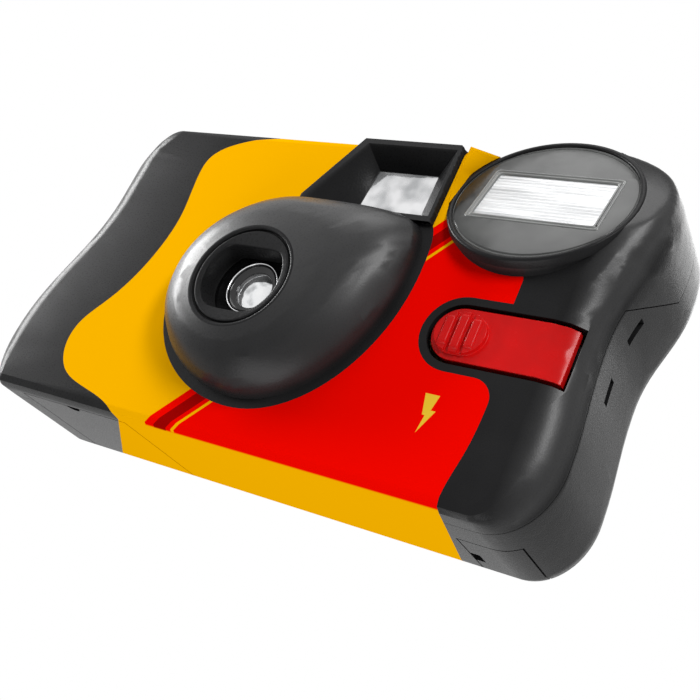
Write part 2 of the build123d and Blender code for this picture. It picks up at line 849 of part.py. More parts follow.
# Lens group in front of the frame: retainer, taking lens, aperture plate and shutter blade.
retainer_front = -19.7
retainer_r = 9.2
retainer_t = 1.2
retainer_hole_r = 3.3
retainer_cone_r = 5.4
leg_r = 0.6
leg_ring_r = 8.5
leg_angle_shares = (0.08, 0.72, 0.90)
lens_r = 4.6
lens_edge_y = -19.0
lens_edge_t = 1.0
lens_front_bulge = 0.6
lens_rear_bulge = 0.5
aperture_r = 1.4
aperture_plate_r = 7.4
aperture_plate_t = 0.4
blade_t = 0.5
blade_cover_r = 2.3
blade_arm_width = 2.4
blade_hub_r = 1.8
tab_x = -9.3
tab_z = 35.9
tab_width = 2.4
tab_height = 1.4
tab_end_y = -11.4

retainer_back = retainer_front + retainer_t
aperture_y = mount_front - spacer_rise

with BuildPart() as lens_retainer:
    stud((lens_x, lens_z), retainer_r, (retainer_front, retainer_back))
    stud((lens_x, lens_z), lens_r + running_fit, (lens_edge_y - running_fit, retainer_back + overrun), Mode.SUBTRACT)
    with BuildSketch(Plane.XZ.offset(-retainer_front)):
        with Locations((lens_x, lens_z)):
            Circle(retainer_cone_r)
    with BuildSketch(Plane.XZ.offset(-lens_edge_y)):
        with Locations((lens_x, lens_z)):
            Circle(retainer_hole_r)
    loft(mode=Mode.SUBTRACT)
    for share in leg_angle_shares:
        turn = math.radians(360 * share)
        leg = (lens_x + leg_ring_r * math.cos(turn), lens_z + leg_ring_r * math.sin(turn))
        stud(leg, leg_r, (retainer_back - retainer_t / 2, mount_front))
finish(lens_retainer, "lens_retainer")

with BuildPart() as taking_lens:
    with BuildSketch(Plane(origin=(lens_x, 0, lens_z), x_dir=(1, 0, 0), z_dir=(0, 0, 1))):
        with BuildLine():
            lens_back = lens_edge_y + lens_edge_t
            front_apex = lens_edge_y - lens_front_bulge
            rear_apex = lens_back + lens_rear_bulge
            crown_arc(retainer_hole_r - running_fit, lens_edge_y, front_apex)
            Line((0, front_apex), (0, rear_apex))
            crown_arc(lens_r, lens_back, rear_apex)
            Polyline((lens_r, lens_back), (lens_r, lens_edge_y), (retainer_hole_r - running_fit, lens_edge_y))
        make_face()
    revolve(axis=Axis((lens_x, 0, lens_z), (0, 1, 0)))
finish(taking_lens, "taking_lens")

with BuildPart() as aperture_plate:
    stud((lens_x, lens_z), aperture_plate_r, (aperture_y - aperture_plate_t, aperture_y))
    stud((lens_x, lens_z), aperture_r, (front_y - dome_rise, front_y), Mode.SUBTRACT)
    stud(blade_pivot, pivot_r + running_fit, (front_y - dome_rise, front_y), Mode.SUBTRACT)
finish(aperture_plate, "aperture_plate")

blade_front = mount_front - (spacer_rise + blade_t) / 2
with BuildPart() as shutter_blade:
    with BuildSketch(Plane.XZ.offset(-blade_front - blade_t)):
        with Locations((lens_x, lens_z)):
            Circle(blade_cover_r)
        with Locations(blade_pivot):
            Circle(blade_hub_r)
        link((lens_x, lens_z), blade_pivot, blade_arm_width)
        link(blade_pivot, (tab_x, tab_z - tab_height / 2), blade_arm_width)
        with Locations((tab_x, tab_z)):
            Rectangle(tab_width, tab_height)
        with Locations(blade_pivot):
            Circle(pivot_r + running_fit, mode=Mode.SUBTRACT)
    extrude(amount=blade_t)
    block(
        (tab_x - tab_width / 2, tab_x + tab_width / 2),
        (blade_front, tab_end_y),
        (tab_z + tab_height / 2 - blade_t, tab_z + tab_height / 2),
    )
finish(shutter_blade, "shutter_blade")

# Viewfinder: a front and a rear lens, each a rectangular block with one curved face.
finder_lens_t = 2.0
finder_lens_bulge = 0.8
finder_lens_left = 3.2
finder_lens_right = 18.8
finder_front_y = front_y + window_setback + gap / 2
finder_foot_z = low_deck_z + frame_wall
finder_front_drop = 2.8
finder_rear_drop = 4.0
finder_rear_y = rear_y - wall - gap


def finder_lens(face_y, inward, top_z):
    """A finder lens up to a height, which bulges inward from its face, along +Y or -Y."""
    with BuildPart() as lens:
        with BuildSketch(Plane.XY.offset(finder_foot_z)):
            with BuildLine():
                edge_y = face_y + inward * finder_lens_t
                middle = (finder_lens_left + finder_lens_right) / 2
                Polyline(
                    (finder_lens_left, edge_y),
                    (finder_lens_left, face_y),
                    (finder_lens_right, face_y),
                    (finder_lens_right, edge_y),
                )
                ThreePointArc(
                    (finder_lens_right, edge_y),
                    (middle, edge_y + inward * finder_lens_bulge),
                    (finder_lens_left, edge_y),
                )
            make_face()
        extrude(amount=top_z - finder_foot_z)
    return lens


viewfinder_front_lens = finder_lens(finder_front_y, 1, body_height - finder_front_drop)
finish(viewfinder_front_lens, "viewfinder_front_lens")
viewfinder_rear_lens = finder_lens(finder_rear_y, -1, body_height - finder_rear_drop)
finish(viewfinder_rear_lens, "viewfinder_rear_lens")

# Cassette: rolled steel shell with a lip, crimped caps, felt in the lip and a keyed spool.
shell_t = 0.3
cap_t = 0.5
lip_left = 3.5
lip_right = 12.0
lip_t = 0.6
mouth_t = 0.7
spool_core_r = 5.0
hub_r = 5.2
hub_bore_r = 3.4
hub_rise = 3.2
key_width = 1.2
cassette_z = (lens_z - cassette_height / 2, lens_z + cassette_height / 2)
mouth_y = film_y + film_t / 2

with BuildPart() as cassette_shell:
    post((cassette_x, cassette_y), cassette_r - shell_t, (cassette_z[0] + cap_t, cassette_z[1] - cap_t))
    block(
        (cassette_x + lip_left, cassette_x + lip_right),
        (mouth_y - mouth_t / 2 - lip_t, mouth_y + mouth_t / 2 + lip_t),
        (cassette_z[0] + 2 * cap_t, cassette_z[1] - 2 * cap_t),
    )
    post((cassette_x, cassette_y), cassette_r - 2 * shell_t, cassette_z, Mode.SUBTRACT)
    block(
        (cassette_x, cassette_x + lip_right + overrun),
        (mouth_y - mouth_t / 2, mouth_y + mouth_t / 2),
        (lens_z - film_width / 2 - gap, lens_z + film_width / 2 + gap),
        Mode.SUBTRACT,
    )
finish(cassette_shell, "cassette_shell")

with BuildPart() as cassette_caps:
    for low, high, out in ((cassette_z[0], cassette_z[0] + cap_t, 1), (cassette_z[1] - cap_t, cassette_z[1], -1)):
        post((cassette_x, cassette_y), cassette_r, (low, high))
        inner = (low + cap_t, high + 3 * cap_t) if out > 0 else (low - 3 * cap_t, high - cap_t)
        post((cassette_x, cassette_y), cassette_r, inner)
        post((cassette_x, cassette_y), cassette_r - shell_t, inner, Mode.SUBTRACT)
    block(
        (cassette_x, cassette_x + cassette_r),
        (mouth_y - mouth_t / 2 - lip_t - gap, rear_y),
        (cassette_z[0] + cap_t, cassette_z[1] - cap_t),
        Mode.SUBTRACT,
    )
    post((cassette_x, cassette_y), hub_r + gap, (cassette_z[0] - overrun, cassette_z[1] + overrun), Mode.SUBTRACT)
finish(cassette_caps, "cassette_caps")

with BuildPart() as light_trap_felt:
    felt_x = (cassette_x + lip_left + lip_t, cassette_x + lip_right - lip_t)
    felt_z = (lens_z - film_width / 2, lens_z + film_width / 2)
    block(felt_x, (mouth_y - mouth_t / 2, mouth_y - film_t / 2 - running_fit), felt_z)
    block(felt_x, (mouth_y + film_t / 2 + running_fit, mouth_y + mouth_t / 2), felt_z)
finish(light_trap_felt, "light_trap_felt")

with BuildPart() as cassette_spool:
    post((cassette_x, cassette_y), spool_core_r, (felt_z[0], felt_z[1]))
    for low, high in (
        (cassette_z[0] + cap_t + gap, lens_z - film_width / 2),
        (lens_z + film_width / 2, cassette_z[1] - cap_t - gap),
    ):
        post((cassette_x, cassette_y), cassette_r - 4 * cap_t, (low, low + 2 * cap_t))
        post((cassette_x, cassette_y), hub_r, (low, high))
    post((cassette_x, cassette_y), hub_r, (cassette_z[0], cassette_z[1] + hub_rise))
    post((cassette_x, cassette_y), hub_bore_r, (felt_z[1] + overrun, cassette_z[1] + 2 * hub_rise), Mode.SUBTRACT)
    block(
        (cassette_x - hub_bore_r - cap_t, cassette_x + hub_bore_r + cap_t),
        (cassette_y - key_width / 2, cassette_y + key_width / 2),
        (felt_z[1] + overrun - cap_t, cassette_z[1]),
    )
finish(cassette_spool, "cassette_spool")

# Film: the strip across the gate, with its perforations, and the roll on the supply spool.
perforation_pitch = 4.75
perforation_width = 2.0
perforation_height = 2.8
perforation_edge = 2.0
perforations = 9
film_tail = 3.2
film_left = cassette_x + lip_left + lip_t
film_right = roll_x - film_tail
roll_z = (lens_z - film_width / 2, lens_z + film_width / 2)
supply_core_r = 4.0
supply_flange_r = 5.6

with BuildPart() as film_strip:
    block((film_left, film_right), (film_y, film_y + film_t), roll_z)
    row_z = film_width / 2 - perforation_edge - perforation_height / 2
    with BuildSketch(Plane.XZ.offset(-film_y - film_t - overrun)):
        with Locations((lens_x, lens_z)):
            with GridLocations(perforation_pitch, 2 * row_z, perforations, 2):
                Rectangle(perforation_width, perforation_height)
    extrude(amount=film_t + 2 * overrun, mode=Mode.SUBTRACT)
finish(film_strip, "film_strip")

with BuildPart() as film_roll:
    post((roll_x, roll_y), roll_r, roll_z)
    post((roll_x, roll_y), supply_core_r, roll_z, Mode.SUBTRACT)
finish(film_roll, "film_roll")

with BuildPart() as supply_spool:
    post((roll_x, roll_y), supply_core_r, roll_z)
    post((roll_x, roll_y), supply_flange_r, (foot_deck_z + gap, roll_z[0]))
    post((roll_x, roll_y), supply_flange_r, (roll_z[1], low_deck_z - gap))
    post((roll_x, roll_y), shaft_r, (foot_deck_z - frame_wall, low_deck_z + frame_wall))
finish(supply_spool, "supply_spool")

# Advance: knurled thumbwheel keyed to the cassette's spool, toothed sprocket with a cam.
knurls = 52
knurl_depth = 0.6
key_slot = key_width + 2 * running_fit
wheel_collar_r = 5.2
wheel_collar_t = 0.6
sprocket_teeth = 8
tooth_width = 1.6
cam_r = 2.4
cam_t = 1.2
cam_z = deck_z + frame_wall + gap

with BuildPart() as thumbwheel:
    with BuildSketch(Plane.XY.offset(wheel_z)):
        with Locations((cassette_x, cassette_y)):
            with BuildLine():
                rim = []
                for i in range(2 * knurls):
                    turn = math.radians(180 * i / knurls)
                    reach = wheel_r - knurl_depth * (i % 2)
                    rim.append((cassette_x + reach * math.cos(turn), cassette_y + reach * math.sin(turn)))
                Polyline(*rim, close=True)
        make_face()
    extrude(amount=wheel_t)
    post((cassette_x, cassette_y), wheel_collar_r, (wheel_z + wheel_t, wheel_z + wheel_t + wheel_collar_t))
    post((cassette_x, cassette_y), hub_bore_r - running_fit, (felt_z[1] + 2 * overrun, wheel_z))
    block(
        (cassette_x - hub_r, cassette_x + hub_r),
        (cassette_y - key_slot / 2, cassette_y + key_slot / 2),
        (felt_z[1], cassette_z[1] + gap),
        Mode.SUBTRACT,
    )
finish(thumbwheel, "thumbwheel")

with BuildPart() as sprocket:
    post((sprocket_x, sprocket_y), sprocket_r - sprocket_tip, (sprocket_z, sprocket_z + sprocket_t))
    with Locations((sprocket_x, sprocket_y, sprocket_z + sprocket_t / 2)):
        with PolarLocations(sprocket_r - tooth_width / 2, sprocket_teeth, start_angle=90):
            Box(tooth_width + 2 * sprocket_tip, tooth_width, sprocket_t)
    post((sprocket_x, sprocket_y), shaft_r, (bearing_z + frame_wall + gap, cover_z + cap_t))
    post((sprocket_x, sprocket_y), cam_r, (cam_z, cam_z + cam_t))
finish(sprocket, "sprocket")

# Shutter release: button, metering lever, high-energy lever, cover plate and frame counter.
button_rise = 0.8
button_flange = 0.8
button_flange_t = 1.0
stem_x = -18.0
stem_y = -6.0
stem_r = 1.2
stem_foot_z = 53.7
lever_t = 1.2
lever_width = 2.0
lever_hub_r = 2.0
cam_arm = (-12.9, 0.6)
catch_arm = (-9.2, -2.0)
tail_arm = (-6.4, -1.2)
leg_foot_z = 35.2
plate_t = 0.8
plate_x = (-19.5, 0.8)
plate_y = (-9.0, 10.0)
plate_leg_r = 1.2
counter_x = -7.6
counter_y = -0.2
counter_r = 6.4
counter_t = 0.8
counter_pin_r = 1.1
counter_dog = 0.6

flange_z = body_height - wall - gap
with BuildPart() as shutter_button:
    with BuildSketch(Plane.XY.offset(flange_z - button_flange_t)):
        with Locations((button_x, button_y)):
            SlotOverall(button_length + 2 * button_flange, button_width + 2 * button_flange)
    extrude(amount=button_flange_t)
    with BuildSketch(Plane.XY.offset(flange_z)):
        with Locations((button_x, button_y)):
            SlotOverall(button_length, button_width)
    extrude(amount=body_height + button_rise - flange_z)
    post((stem_x, stem_y), stem_r, (stem_foot_z, flange_z))
finish(shutter_button, "shutter_button")

with BuildPart() as metering_lever:
    with BuildSketch(Plane.XY.offset(cam_z)):
        for end in ((stem_x, stem_y), cam_arm, catch_arm):
            link((metering_x, metering_y), end, lever_width)
        with Locations((metering_x, metering_y)):
            Circle(lever_hub_r)
            Circle(lever_pin_r + running_fit, mode=Mode.SUBTRACT)
    extrude(amount=lever_t)
finish(metering_lever, "metering_lever")

with BuildPart() as high_energy_lever:
    with BuildSketch(Plane.XY.offset(cam_z)):
        for end in ((leg_x, leg_y), tail_arm):
            link((energy_x, energy_y), end, leg_width)
        with Locations((energy_x, energy_y)):
            Circle(lever_hub_r)
            Circle(lever_pin_r + running_fit, mode=Mode.SUBTRACT)
    extrude(amount=lever_t)
    block(
        (leg_x - leg_width / 2, leg_x + leg_width / 2),
        (leg_y - leg_width / 2, leg_y + leg_width / 2),
        (leg_foot_z, cam_z + lever_t),
    )
finish(high_energy_lever, "high_energy_lever")

with BuildPart() as mechanism_cover:
    block(plate_x, plate_y, (cover_z, cover_z + plate_t))
    block((plate_x[0], stem_x + 2 * stem_r), (plate_y[0], stem_y + 2 * stem_r), (0, body_height), Mode.SUBTRACT)
    for corner in (
        (plate_x[0] + 2 * plate_leg_r, plate_y[1] - plate_leg_r),
        (plate_x[1] - 2 * plate_leg_r, plate_y[1] - plate_leg_r),
        (plate_x[1] - plate_leg_r, plate_y[0] + plate_leg_r),
    ):
        post(corner, plate_leg_r, (deck_z + frame_wall, cover_z))
    post((sprocket_x, sprocket_y), shaft_r + running_fit, (cover_z, cover_z + 2 * plate_t), Mode.SUBTRACT)
    post((counter_x, counter_y), counter_pin_r + running_fit, (cover_z, cover_z + 2 * plate_t), Mode.SUBTRACT)
finish(mechanism_cover, "mechanism_cover")

with BuildPart() as counter_disc:
    disc_z = cover_z + plate_t + gap
    post((counter_x, counter_y), counter_r, (disc_z, disc_z + counter_t))
    post((counter_x, counter_y), counter_pin_r, (cover_z - gap, disc_z))
    with Locations((counter_x, counter_y, disc_z + counter_t / 2)):
        with PolarLocations(counter_r, 2 * sprocket_teeth):
            Box(counter_dog, counter_dog, counter_t, mode=Mode.SUBTRACT)
finish(counter_disc, "counter_disc")

with BuildPart() as counter_window:
    post((counter_window_x, counter_window_y), counter_window_r - running_fit, (body_height - wall, body_height - label_t))
    post((counter_window_x, counter_window_y), counter_window_r + gap, (body_height - wall - plate_t, body_height - wall))
finish(counter_window, "counter_window")

# Flash: bezel, window, reflector, tube, capacitor, circuit board and its parts.
flash_width = 20.4
flash_height = 11.0
flash_gap = 0.2
flash_window_t = 1.2
reflector_depth = 7.4
reflector_wall = 0.4
cheek_lean = 0.9
tube_r = 1.4
tube_half = 9.4
tube_local_z = -6.2
electrode_r = 0.5
electrode_half = 11.6
capacitor_x = 31.0
capacitor_r = 6.1
capacitor_y = (-2.6, 12.6)
board_t = 1.2
board_x = (22.4, 51.8)
board_top_z = 33.4
transformer_x = (39.8, 50.6)
transformer_z = (7.4, 18.4)
transformer_front = -12.6
coil_r = 2.1
coil_z = 15.6
coil_x = (24.4, 35.4)

with BuildPart() as flash_bezel:
    with BuildSketch(turret_plane.offset(-bezel_t)):
        Circle(bezel_r)
        Rectangle(flash_width, flash_height, mode=Mode.SUBTRACT)
    extrude(amount=bezel_t)
finish(flash_bezel, "flash_bezel")

with BuildPart() as flash_window:
    with BuildSketch(turret_plane.offset(-bezel_t)):
        Rectangle(flash_width - flash_gap, flash_height - flash_gap)
    extrude(amount=flash_window_t)
finish(flash_window, "flash_window")

with BuildPart() as flash_reflector:
    half_width = (flash_width - flash_gap) / 2
    mouth = (flash_height - flash_gap) / 2
    inner = mouth - reflector_wall
    profile = Plane(
        origin=turret_plane.offset(-bezel_t).origin - turret_plane.x_dir * half_width,
        x_dir=turret_plane.y_dir,
        z_dir=turret_plane.x_dir,
    )
    with BuildSketch(profile):
        with BuildLine():
            for half, deep in ((mouth, reflector_depth), (inner, reflector_depth - reflector_wall)):
                knee = (half - cheek_lean, deep / 2 - deep)
                Line((half, 0), knee)
                Line((-half, 0), (-knee[0], knee[1]))
                ThreePointArc(knee, (0, -deep), (-knee[0], knee[1]))
            Line((mouth, 0), (inner, 0))
            Line((-mouth, 0), (-inner, 0))
        make_face()
    extrude(amount=2 * half_width)
finish(flash_reflector, "flash_reflector")

with BuildPart() as flash_tube:
    with BuildSketch(Plane(origin=turret_plane.offset(tube_local_z).origin - turret_plane.x_dir * tube_half,
                           x_dir=turret_plane.y_dir, z_dir=turret_plane.x_dir)):
        Circle(tube_r)
    extrude(amount=2 * tube_half)
    with BuildSketch(Plane(origin=turret_plane.offset(tube_local_z).origin - turret_plane.x_dir * electrode_half,
                           x_dir=turret_plane.y_dir, z_dir=turret_plane.x_dir)):
        Circle(electrode_r)
    extrude(amount=2 * electrode_half)
finish(flash_tube, "flash_tube")

capacitor_z = low_deck_z + frame_wall + capacitor_r
with BuildPart() as capacitor:
    stud((capacitor_x, capacitor_z), capacitor_r, capacitor_y)
finish(capacitor, "capacitor")

board_back = roll_y - roll_chamber_r - frame_wall
board_front = board_back - board_t
with BuildPart() as flash_board:
    block(board_x, (board_front, board_back), (foot_deck_z, board_top_z))
finish(flash_board, "flash_board")

with BuildPart() as transformer:
    block(transformer_x, (transformer_front, board_front), transformer_z)
finish(transformer, "transformer")

with BuildPart() as trigger_coil:
    bar((board_front - coil_r, coil_z), coil_r, coil_x)
finish(trigger_coil, "trigger_coil")

# Flash button: the piece of the housing cut out by its opening, with a raised grip and hinge pins.
grip_length = 8.4
grip_height = 6.8
grip_rise = 0.9
grip_bar = 0.8
grip_pitch = 2.2
grip_bars = 3
lug_width = 2.2
peg_x = 36.0
peg_r = 1.1
peg_end_y = -11.5
pin_reach = ear_gap + ear_t

with BuildPart() as flash_button:
    add(outer_form)
    add(housing_form(button_t, 2), mode=Mode.SUBTRACT)
    with BuildSketch(Plane.XZ.offset(-front_y + overrun)):
        button_outline(button_gap)
    extrude(amount=-overrun - button_t - gap, mode=Mode.INTERSECT)
    block(
        (hinge_x - lug_width / 2, hinge_x + lug_width / 2),
        (front_y + button_t - gap, hinge_y + lug_width / 2),
        (opening_foot_z + button_gap, opening_top_z - button_gap),
    )
    post((hinge_x, hinge_y), hinge_r, (opening_foot_z - pin_reach, opening_top_z + pin_reach))
    stud((peg_x, (opening_foot_z + opening_top_z) / 2), peg_r, (front_y + wall, peg_end_y))
    grip_x = opening_left + 2 * button_gap + grip_length / 2
    with BuildSketch(Plane.XZ.offset(-front_y)):
        with Locations((grip_x, (opening_foot_z + opening_top_z) / 2)):
            SlotOverall(grip_length, grip_height)
    extrude(amount=grip_rise)
    with BuildSketch(Plane.XZ.offset(-front_y + grip_rise / 2)):
        with Locations((grip_x, (opening_foot_z + opening_top_z) / 2)):
            with GridLocations(grip_pitch, 0, grip_bars - 1, 1):
                Rectangle(grip_bar, opening_top_z - opening_foot_z)
    extrude(amount=grip_rise, mode=Mode.SUBTRACT)
finish(flash_button, "flash_button")

with BuildPart() as switch_contact:
    strip_y = peg_end_y + button_travel
    strip_z = (opening_foot_z + opening_top_z) / 2
    block((peg_x - 2 * peg_r, peg_x + grip_length), (strip_y, strip_y + reflector_wall), (strip_z - peg_r, strip_z + peg_r))
    block(
        (peg_x + grip_length - reflector_wall, peg_x + grip_length),
        (strip_y, board_front),
        (strip_z - peg_r, strip_z + peg_r),
    )
finish(switch_contact, "switch_contact")

# Cell, its two contacts, the ready lamp and the light pipe through the rear wall.
cell_nub_r = 2.6
cell_nub_rise = 1.0
contact_t = 0.4
contact_r = 5.2
contact_leg = 4.0
pipe_length = 6.0
pipe_head_r = 1.85
lamp_glass_r = 1.3
lamp_glass_length = 5.0
cell_top_z = cell_foot_z + cell_height

with BuildPart() as battery:
    post((cell_x, cell_y), cell_r, (cell_foot_z, cell_top_z - cell_nub_rise))
    post((cell_x, cell_y), cell_nub_r, (cell_top_z - cell_nub_rise, cell_top_z))
finish(battery, "battery")

strap_x = (cell_x - contact_leg / 2, cell_x + contact_leg / 2)
with BuildPart() as battery_contact_bottom:
    post((cell_x, cell_y), contact_r, (cell_foot_z - contact_t, cell_foot_z))
    block(strap_x, (board_back, cell_y), (cell_foot_z - contact_t, cell_foot_z))
    block(strap_x, (board_back, board_back + contact_t), (cell_foot_z - contact_t, transformer_z[1]))
finish(battery_contact_bottom, "battery_contact_bottom")

with BuildPart() as battery_contact_top:
    strap_y = cell_y - cell_r - gap - cradle_wall - 2 * running_fit
    strap_foot_z = board_top_z - contact_leg
    post((cell_x, cell_y), contact_r, (cell_top_z, cell_top_z + contact_t))
    block(strap_x, (strap_y - contact_t, cell_y), (cell_top_z, cell_top_z + contact_t))
    block(strap_x, (strap_y - contact_t, strap_y), (strap_foot_z, cell_top_z))
    block(strap_x, (board_back, strap_y), (strap_foot_z, strap_foot_z + contact_t))
finish(battery_contact_top, "battery_contact_top")

with BuildPart() as light_pipe:
    stud((lamp_x, lamp_z), lamp_r - running_fit, (rear_y - pipe_length, rear_y - label_t))
    stud((lamp_x, lamp_z), pipe_head_r, (rear_y - wall - pipe_length / 2, rear_y - wall))
finish(light_pipe, "light_pipe")

with BuildPart() as ready_lamp:
    stud((lamp_x, lamp_z), lamp_glass_r, (rear_y - pipe_length - lamp_glass_length, rear_y - pipe_length))
finish(ready_lamp, "ready_lamp")
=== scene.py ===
import json
import math

import bmesh
import bpy
import numpy as np
from mathutils import Matrix


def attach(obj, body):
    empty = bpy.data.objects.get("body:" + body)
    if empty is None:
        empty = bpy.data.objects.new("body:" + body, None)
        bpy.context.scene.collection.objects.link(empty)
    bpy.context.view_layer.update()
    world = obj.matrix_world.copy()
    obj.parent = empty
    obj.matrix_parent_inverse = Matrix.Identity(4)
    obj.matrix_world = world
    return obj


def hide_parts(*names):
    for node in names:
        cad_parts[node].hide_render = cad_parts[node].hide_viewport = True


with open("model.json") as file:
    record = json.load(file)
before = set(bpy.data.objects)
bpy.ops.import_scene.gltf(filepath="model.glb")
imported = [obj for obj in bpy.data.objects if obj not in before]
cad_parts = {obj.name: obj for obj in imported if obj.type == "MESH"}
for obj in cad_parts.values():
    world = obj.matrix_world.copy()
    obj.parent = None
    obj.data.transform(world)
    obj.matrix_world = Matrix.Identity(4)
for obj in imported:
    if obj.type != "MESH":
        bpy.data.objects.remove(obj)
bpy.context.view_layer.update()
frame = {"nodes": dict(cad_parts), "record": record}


# Viewpoint: low in front of the flash side, looking up at the face with the lens.
# Its place, its turn and its focal length follow the photograph's outline.
def put(name, data):
    """A new object in the scene."""
    made = bpy.data.objects.new(name, data)
    bpy.context.scene.collection.objects.link(made)
    return made


def stand(thing, right, up, back, place):
    """Turns and places an object: the columns of its matrix are its right, up and back axes and its place."""
    matrix = np.eye(4)
    matrix[:3] = np.column_stack([right, up, back, place])
    thing.matrix_world = Matrix(matrix.tolist())


camera_place = (0.10530, -0.13994, -0.03346)
camera_right = (0.8237, 0.4054, 0.3964)
camera_up = (-0.1713, -0.4886, 0.8555)
camera_back = (0.5405, -0.7726, -0.3331)
sensor_width, focal_length, nearest = 36, 53.77, 0.01
lens = bpy.data.cameras.new("viewpoint")
lens.sensor_width = sensor_width
lens.lens = focal_length
lens.clip_start = nearest
camera = put("viewpoint", lens)
stand(camera, camera_right, camera_up, camera_back, camera_place)
bpy.context.scene.camera = camera
bpy.context.scene.view_settings.view_transform = "Standard"


# Floor: a pale sheet that is painted on its upper side alone, because the viewpoint lies below it.
# Only the camera sees it, so that it neither shades nor tints the part's underside.
class Signal:
    """One output of a material's nodes. Sums, differences and products of it add Math nodes."""

    def __init__(self, finish, socket):
        self.finish = finish
        self.socket = socket

    def maths(self, operation, *values):
        """The result of a Math node."""
        return self.finish.node("ShaderNodeMath", {"operation": operation}, dict(enumerate(values)))

    def larger(self, other):
        """The larger of two values."""
        return self.maths("MAXIMUM", self, other)

    def __add__(self, other):
        return self.maths("ADD", self, other)

    def __sub__(self, other):
        return self.maths("SUBTRACT", self, other)

    def __rsub__(self, other):
        return self.maths("SUBTRACT", other, self)

    def __mul__(self, other):
        return self.maths("MULTIPLY", self, other)

    def __abs__(self):
        return self.maths("ABSOLUTE", self)

    __radd__ = __add__
    __rmul__ = __mul__


class Finish:
    """The nodes of a material or of the room's world, made one by one with node()."""

    def __init__(self, name, home=None):
        self.home = home or bpy.data.materials.new(name)
        self.home.use_nodes = True
        self.tree = self.home.node_tree
        self.tree.nodes.clear()

    def node(self, kind, settings=None, inputs=None, output=0):
        """Adds a node: its settings first, then the values or links of its sockets. Gives one output."""
        node = self.tree.nodes.new(kind)
        for key, value in (settings or {}).items():
            if key != "stops":
                setattr(node, key, value)
                continue
            while len(node.color_ramp.elements) < len(value):
                node.color_ramp.elements.new(0.5)
            for element, (place, colour) in zip(node.color_ramp.elements, value):
                element.position = place
                element.color = (*colour, 1)
        for key, value in (inputs or {}).items():
            if isinstance(value, Signal):
                self.tree.links.new(value.socket, node.inputs[key])
            elif isinstance(value, tuple) and node.inputs[key].type == "RGBA":
                node.inputs[key].default_value = (*value, 1)
            else:
                node.inputs[key].default_value = value
        return Signal(self, node.outputs[output]) if node.outputs else None

    def place(self):
        """The point on the piece, in metres."""
        return self.node("ShaderNodeTexCoord", output="Object")

    def axes(self):
        """The point's X, Y and Z."""
        parts = self.node("ShaderNodeSeparateXYZ", inputs={0: self.place()}).socket.node
        return [Signal(self, output) for output in parts.outputs]

    def noise(self, size, detail=2.0, stretch=(1.0, 1.0, 1.0)):
        """Noise from 0 to 1 whose blotches are about size metres, made finer along an axis by its stretch."""
        where = self.node("ShaderNodeMapping", inputs={0: self.place(), 3: stretch})
        return self.node("ShaderNodeTexNoise", inputs={"Vector": where, "Scale": 1 / size, "Detail": detail})

    def blend(self, share, first, second):
        """One colour where share is 0 and another where it is 1."""
        return self.node("ShaderNodeMix", {"data_type": "RGBA"}, {0: share, 6: first, 7: second}, 2)

    def ramp(self, value, low, high, start=0.0, end=1.0):
        """start up to low, end from high on, and straight between."""
        return self.node("ShaderNodeMapRange", inputs={0: value, 1: low, 2: high, 3: start, 4: end})

    def spread(self, noise, start, end):
        """start to end over the middle of a noise, where most of its values lie."""
        return self.ramp(noise, 0.3, 0.7, start, end)

    def drift(self, noise, start, end):
        """start to end over nearly the whole of a noise."""
        return self.ramp(noise, 0.2, 0.8, start, end)

    def bump(self, height, depth):
        """A normal from a height of 0 to 1 that stands for depth metres."""
        return self.node("ShaderNodeBump", inputs={"Height": height, "Distance": depth})

    def shade(self, **inputs):
        """Closes a material with one shader, whose sockets are named with _ for a space."""
        named = {key.replace("_", " "): value for key, value in inputs.items()}
        self.node("ShaderNodeOutputMaterial", inputs={0: self.node("ShaderNodeBsdfPrincipled", inputs=named)})
        return self.home


floor_reach, floor_drop, floor_cloud = 1.2, 0.0003, 0.3
floor_tones = (0.80, 0.80, 0.80), (0.84, 0.84, 0.84)
corners = np.array([(-1, -1, 0), (1, -1, 0), (1, 1, 0), (-1, 1, 0)]) * floor_reach - (0, 0, floor_drop)
floor_mesh = bpy.data.meshes.new("floor")
floor_mesh.from_pydata(corners.tolist(), [], [(0, 1, 2, 3)])
floor = put("floor", floor_mesh)
floor.visible_diffuse = False
floor.visible_glossy = False
floor.visible_transmission = False
floor.visible_shadow = False
paint = Finish("floor_paint")
upper = paint.node("ShaderNodeBsdfDiffuse", inputs={"Color": paint.blend(paint.noise(floor_cloud), *floor_tones)})
under = paint.node("ShaderNodeBsdfTransparent")
back = paint.node("ShaderNodeNewGeometry", output="Backfacing")
sides = paint.node("ShaderNodeMixShader", inputs={0: back, 1: upper, 2: under})
paint.node("ShaderNodeOutputMaterial", inputs={0: sides})
floor_mesh.materials.append(paint.home)

# Room: white where the camera sees it, straight, mirrored or through a clear part.
# On the part itself it gives only a little even light.
room_light, room_white = 0.16, 1.0
room = bpy.data.worlds.new("room")
bpy.context.scene.world = room
air = Finish("room", room)
rays = air.node("ShaderNodeLightPath").socket.node
seen, shine, through = (
    Signal(air, rays.outputs[ray + " Ray"]) for ray in ("Is Camera", "Is Glossy", "Is Transmission"))
glow = air.ramp(seen + shine + through, 0.0, 1.0, start=room_light, end=room_white)
sky = air.node("ShaderNodeBackground", inputs={0: (1.0, 1.0, 1.0), 1: glow})
air.node("ShaderNodeOutputWorld", inputs={0: sky})

# Lamps: five soft boxes that face the middle of the part. Those in front stand where the photograph's
# highlights reflect them, and one lights the back.
lamp_aim = (0.0, 0.0, 0.03)


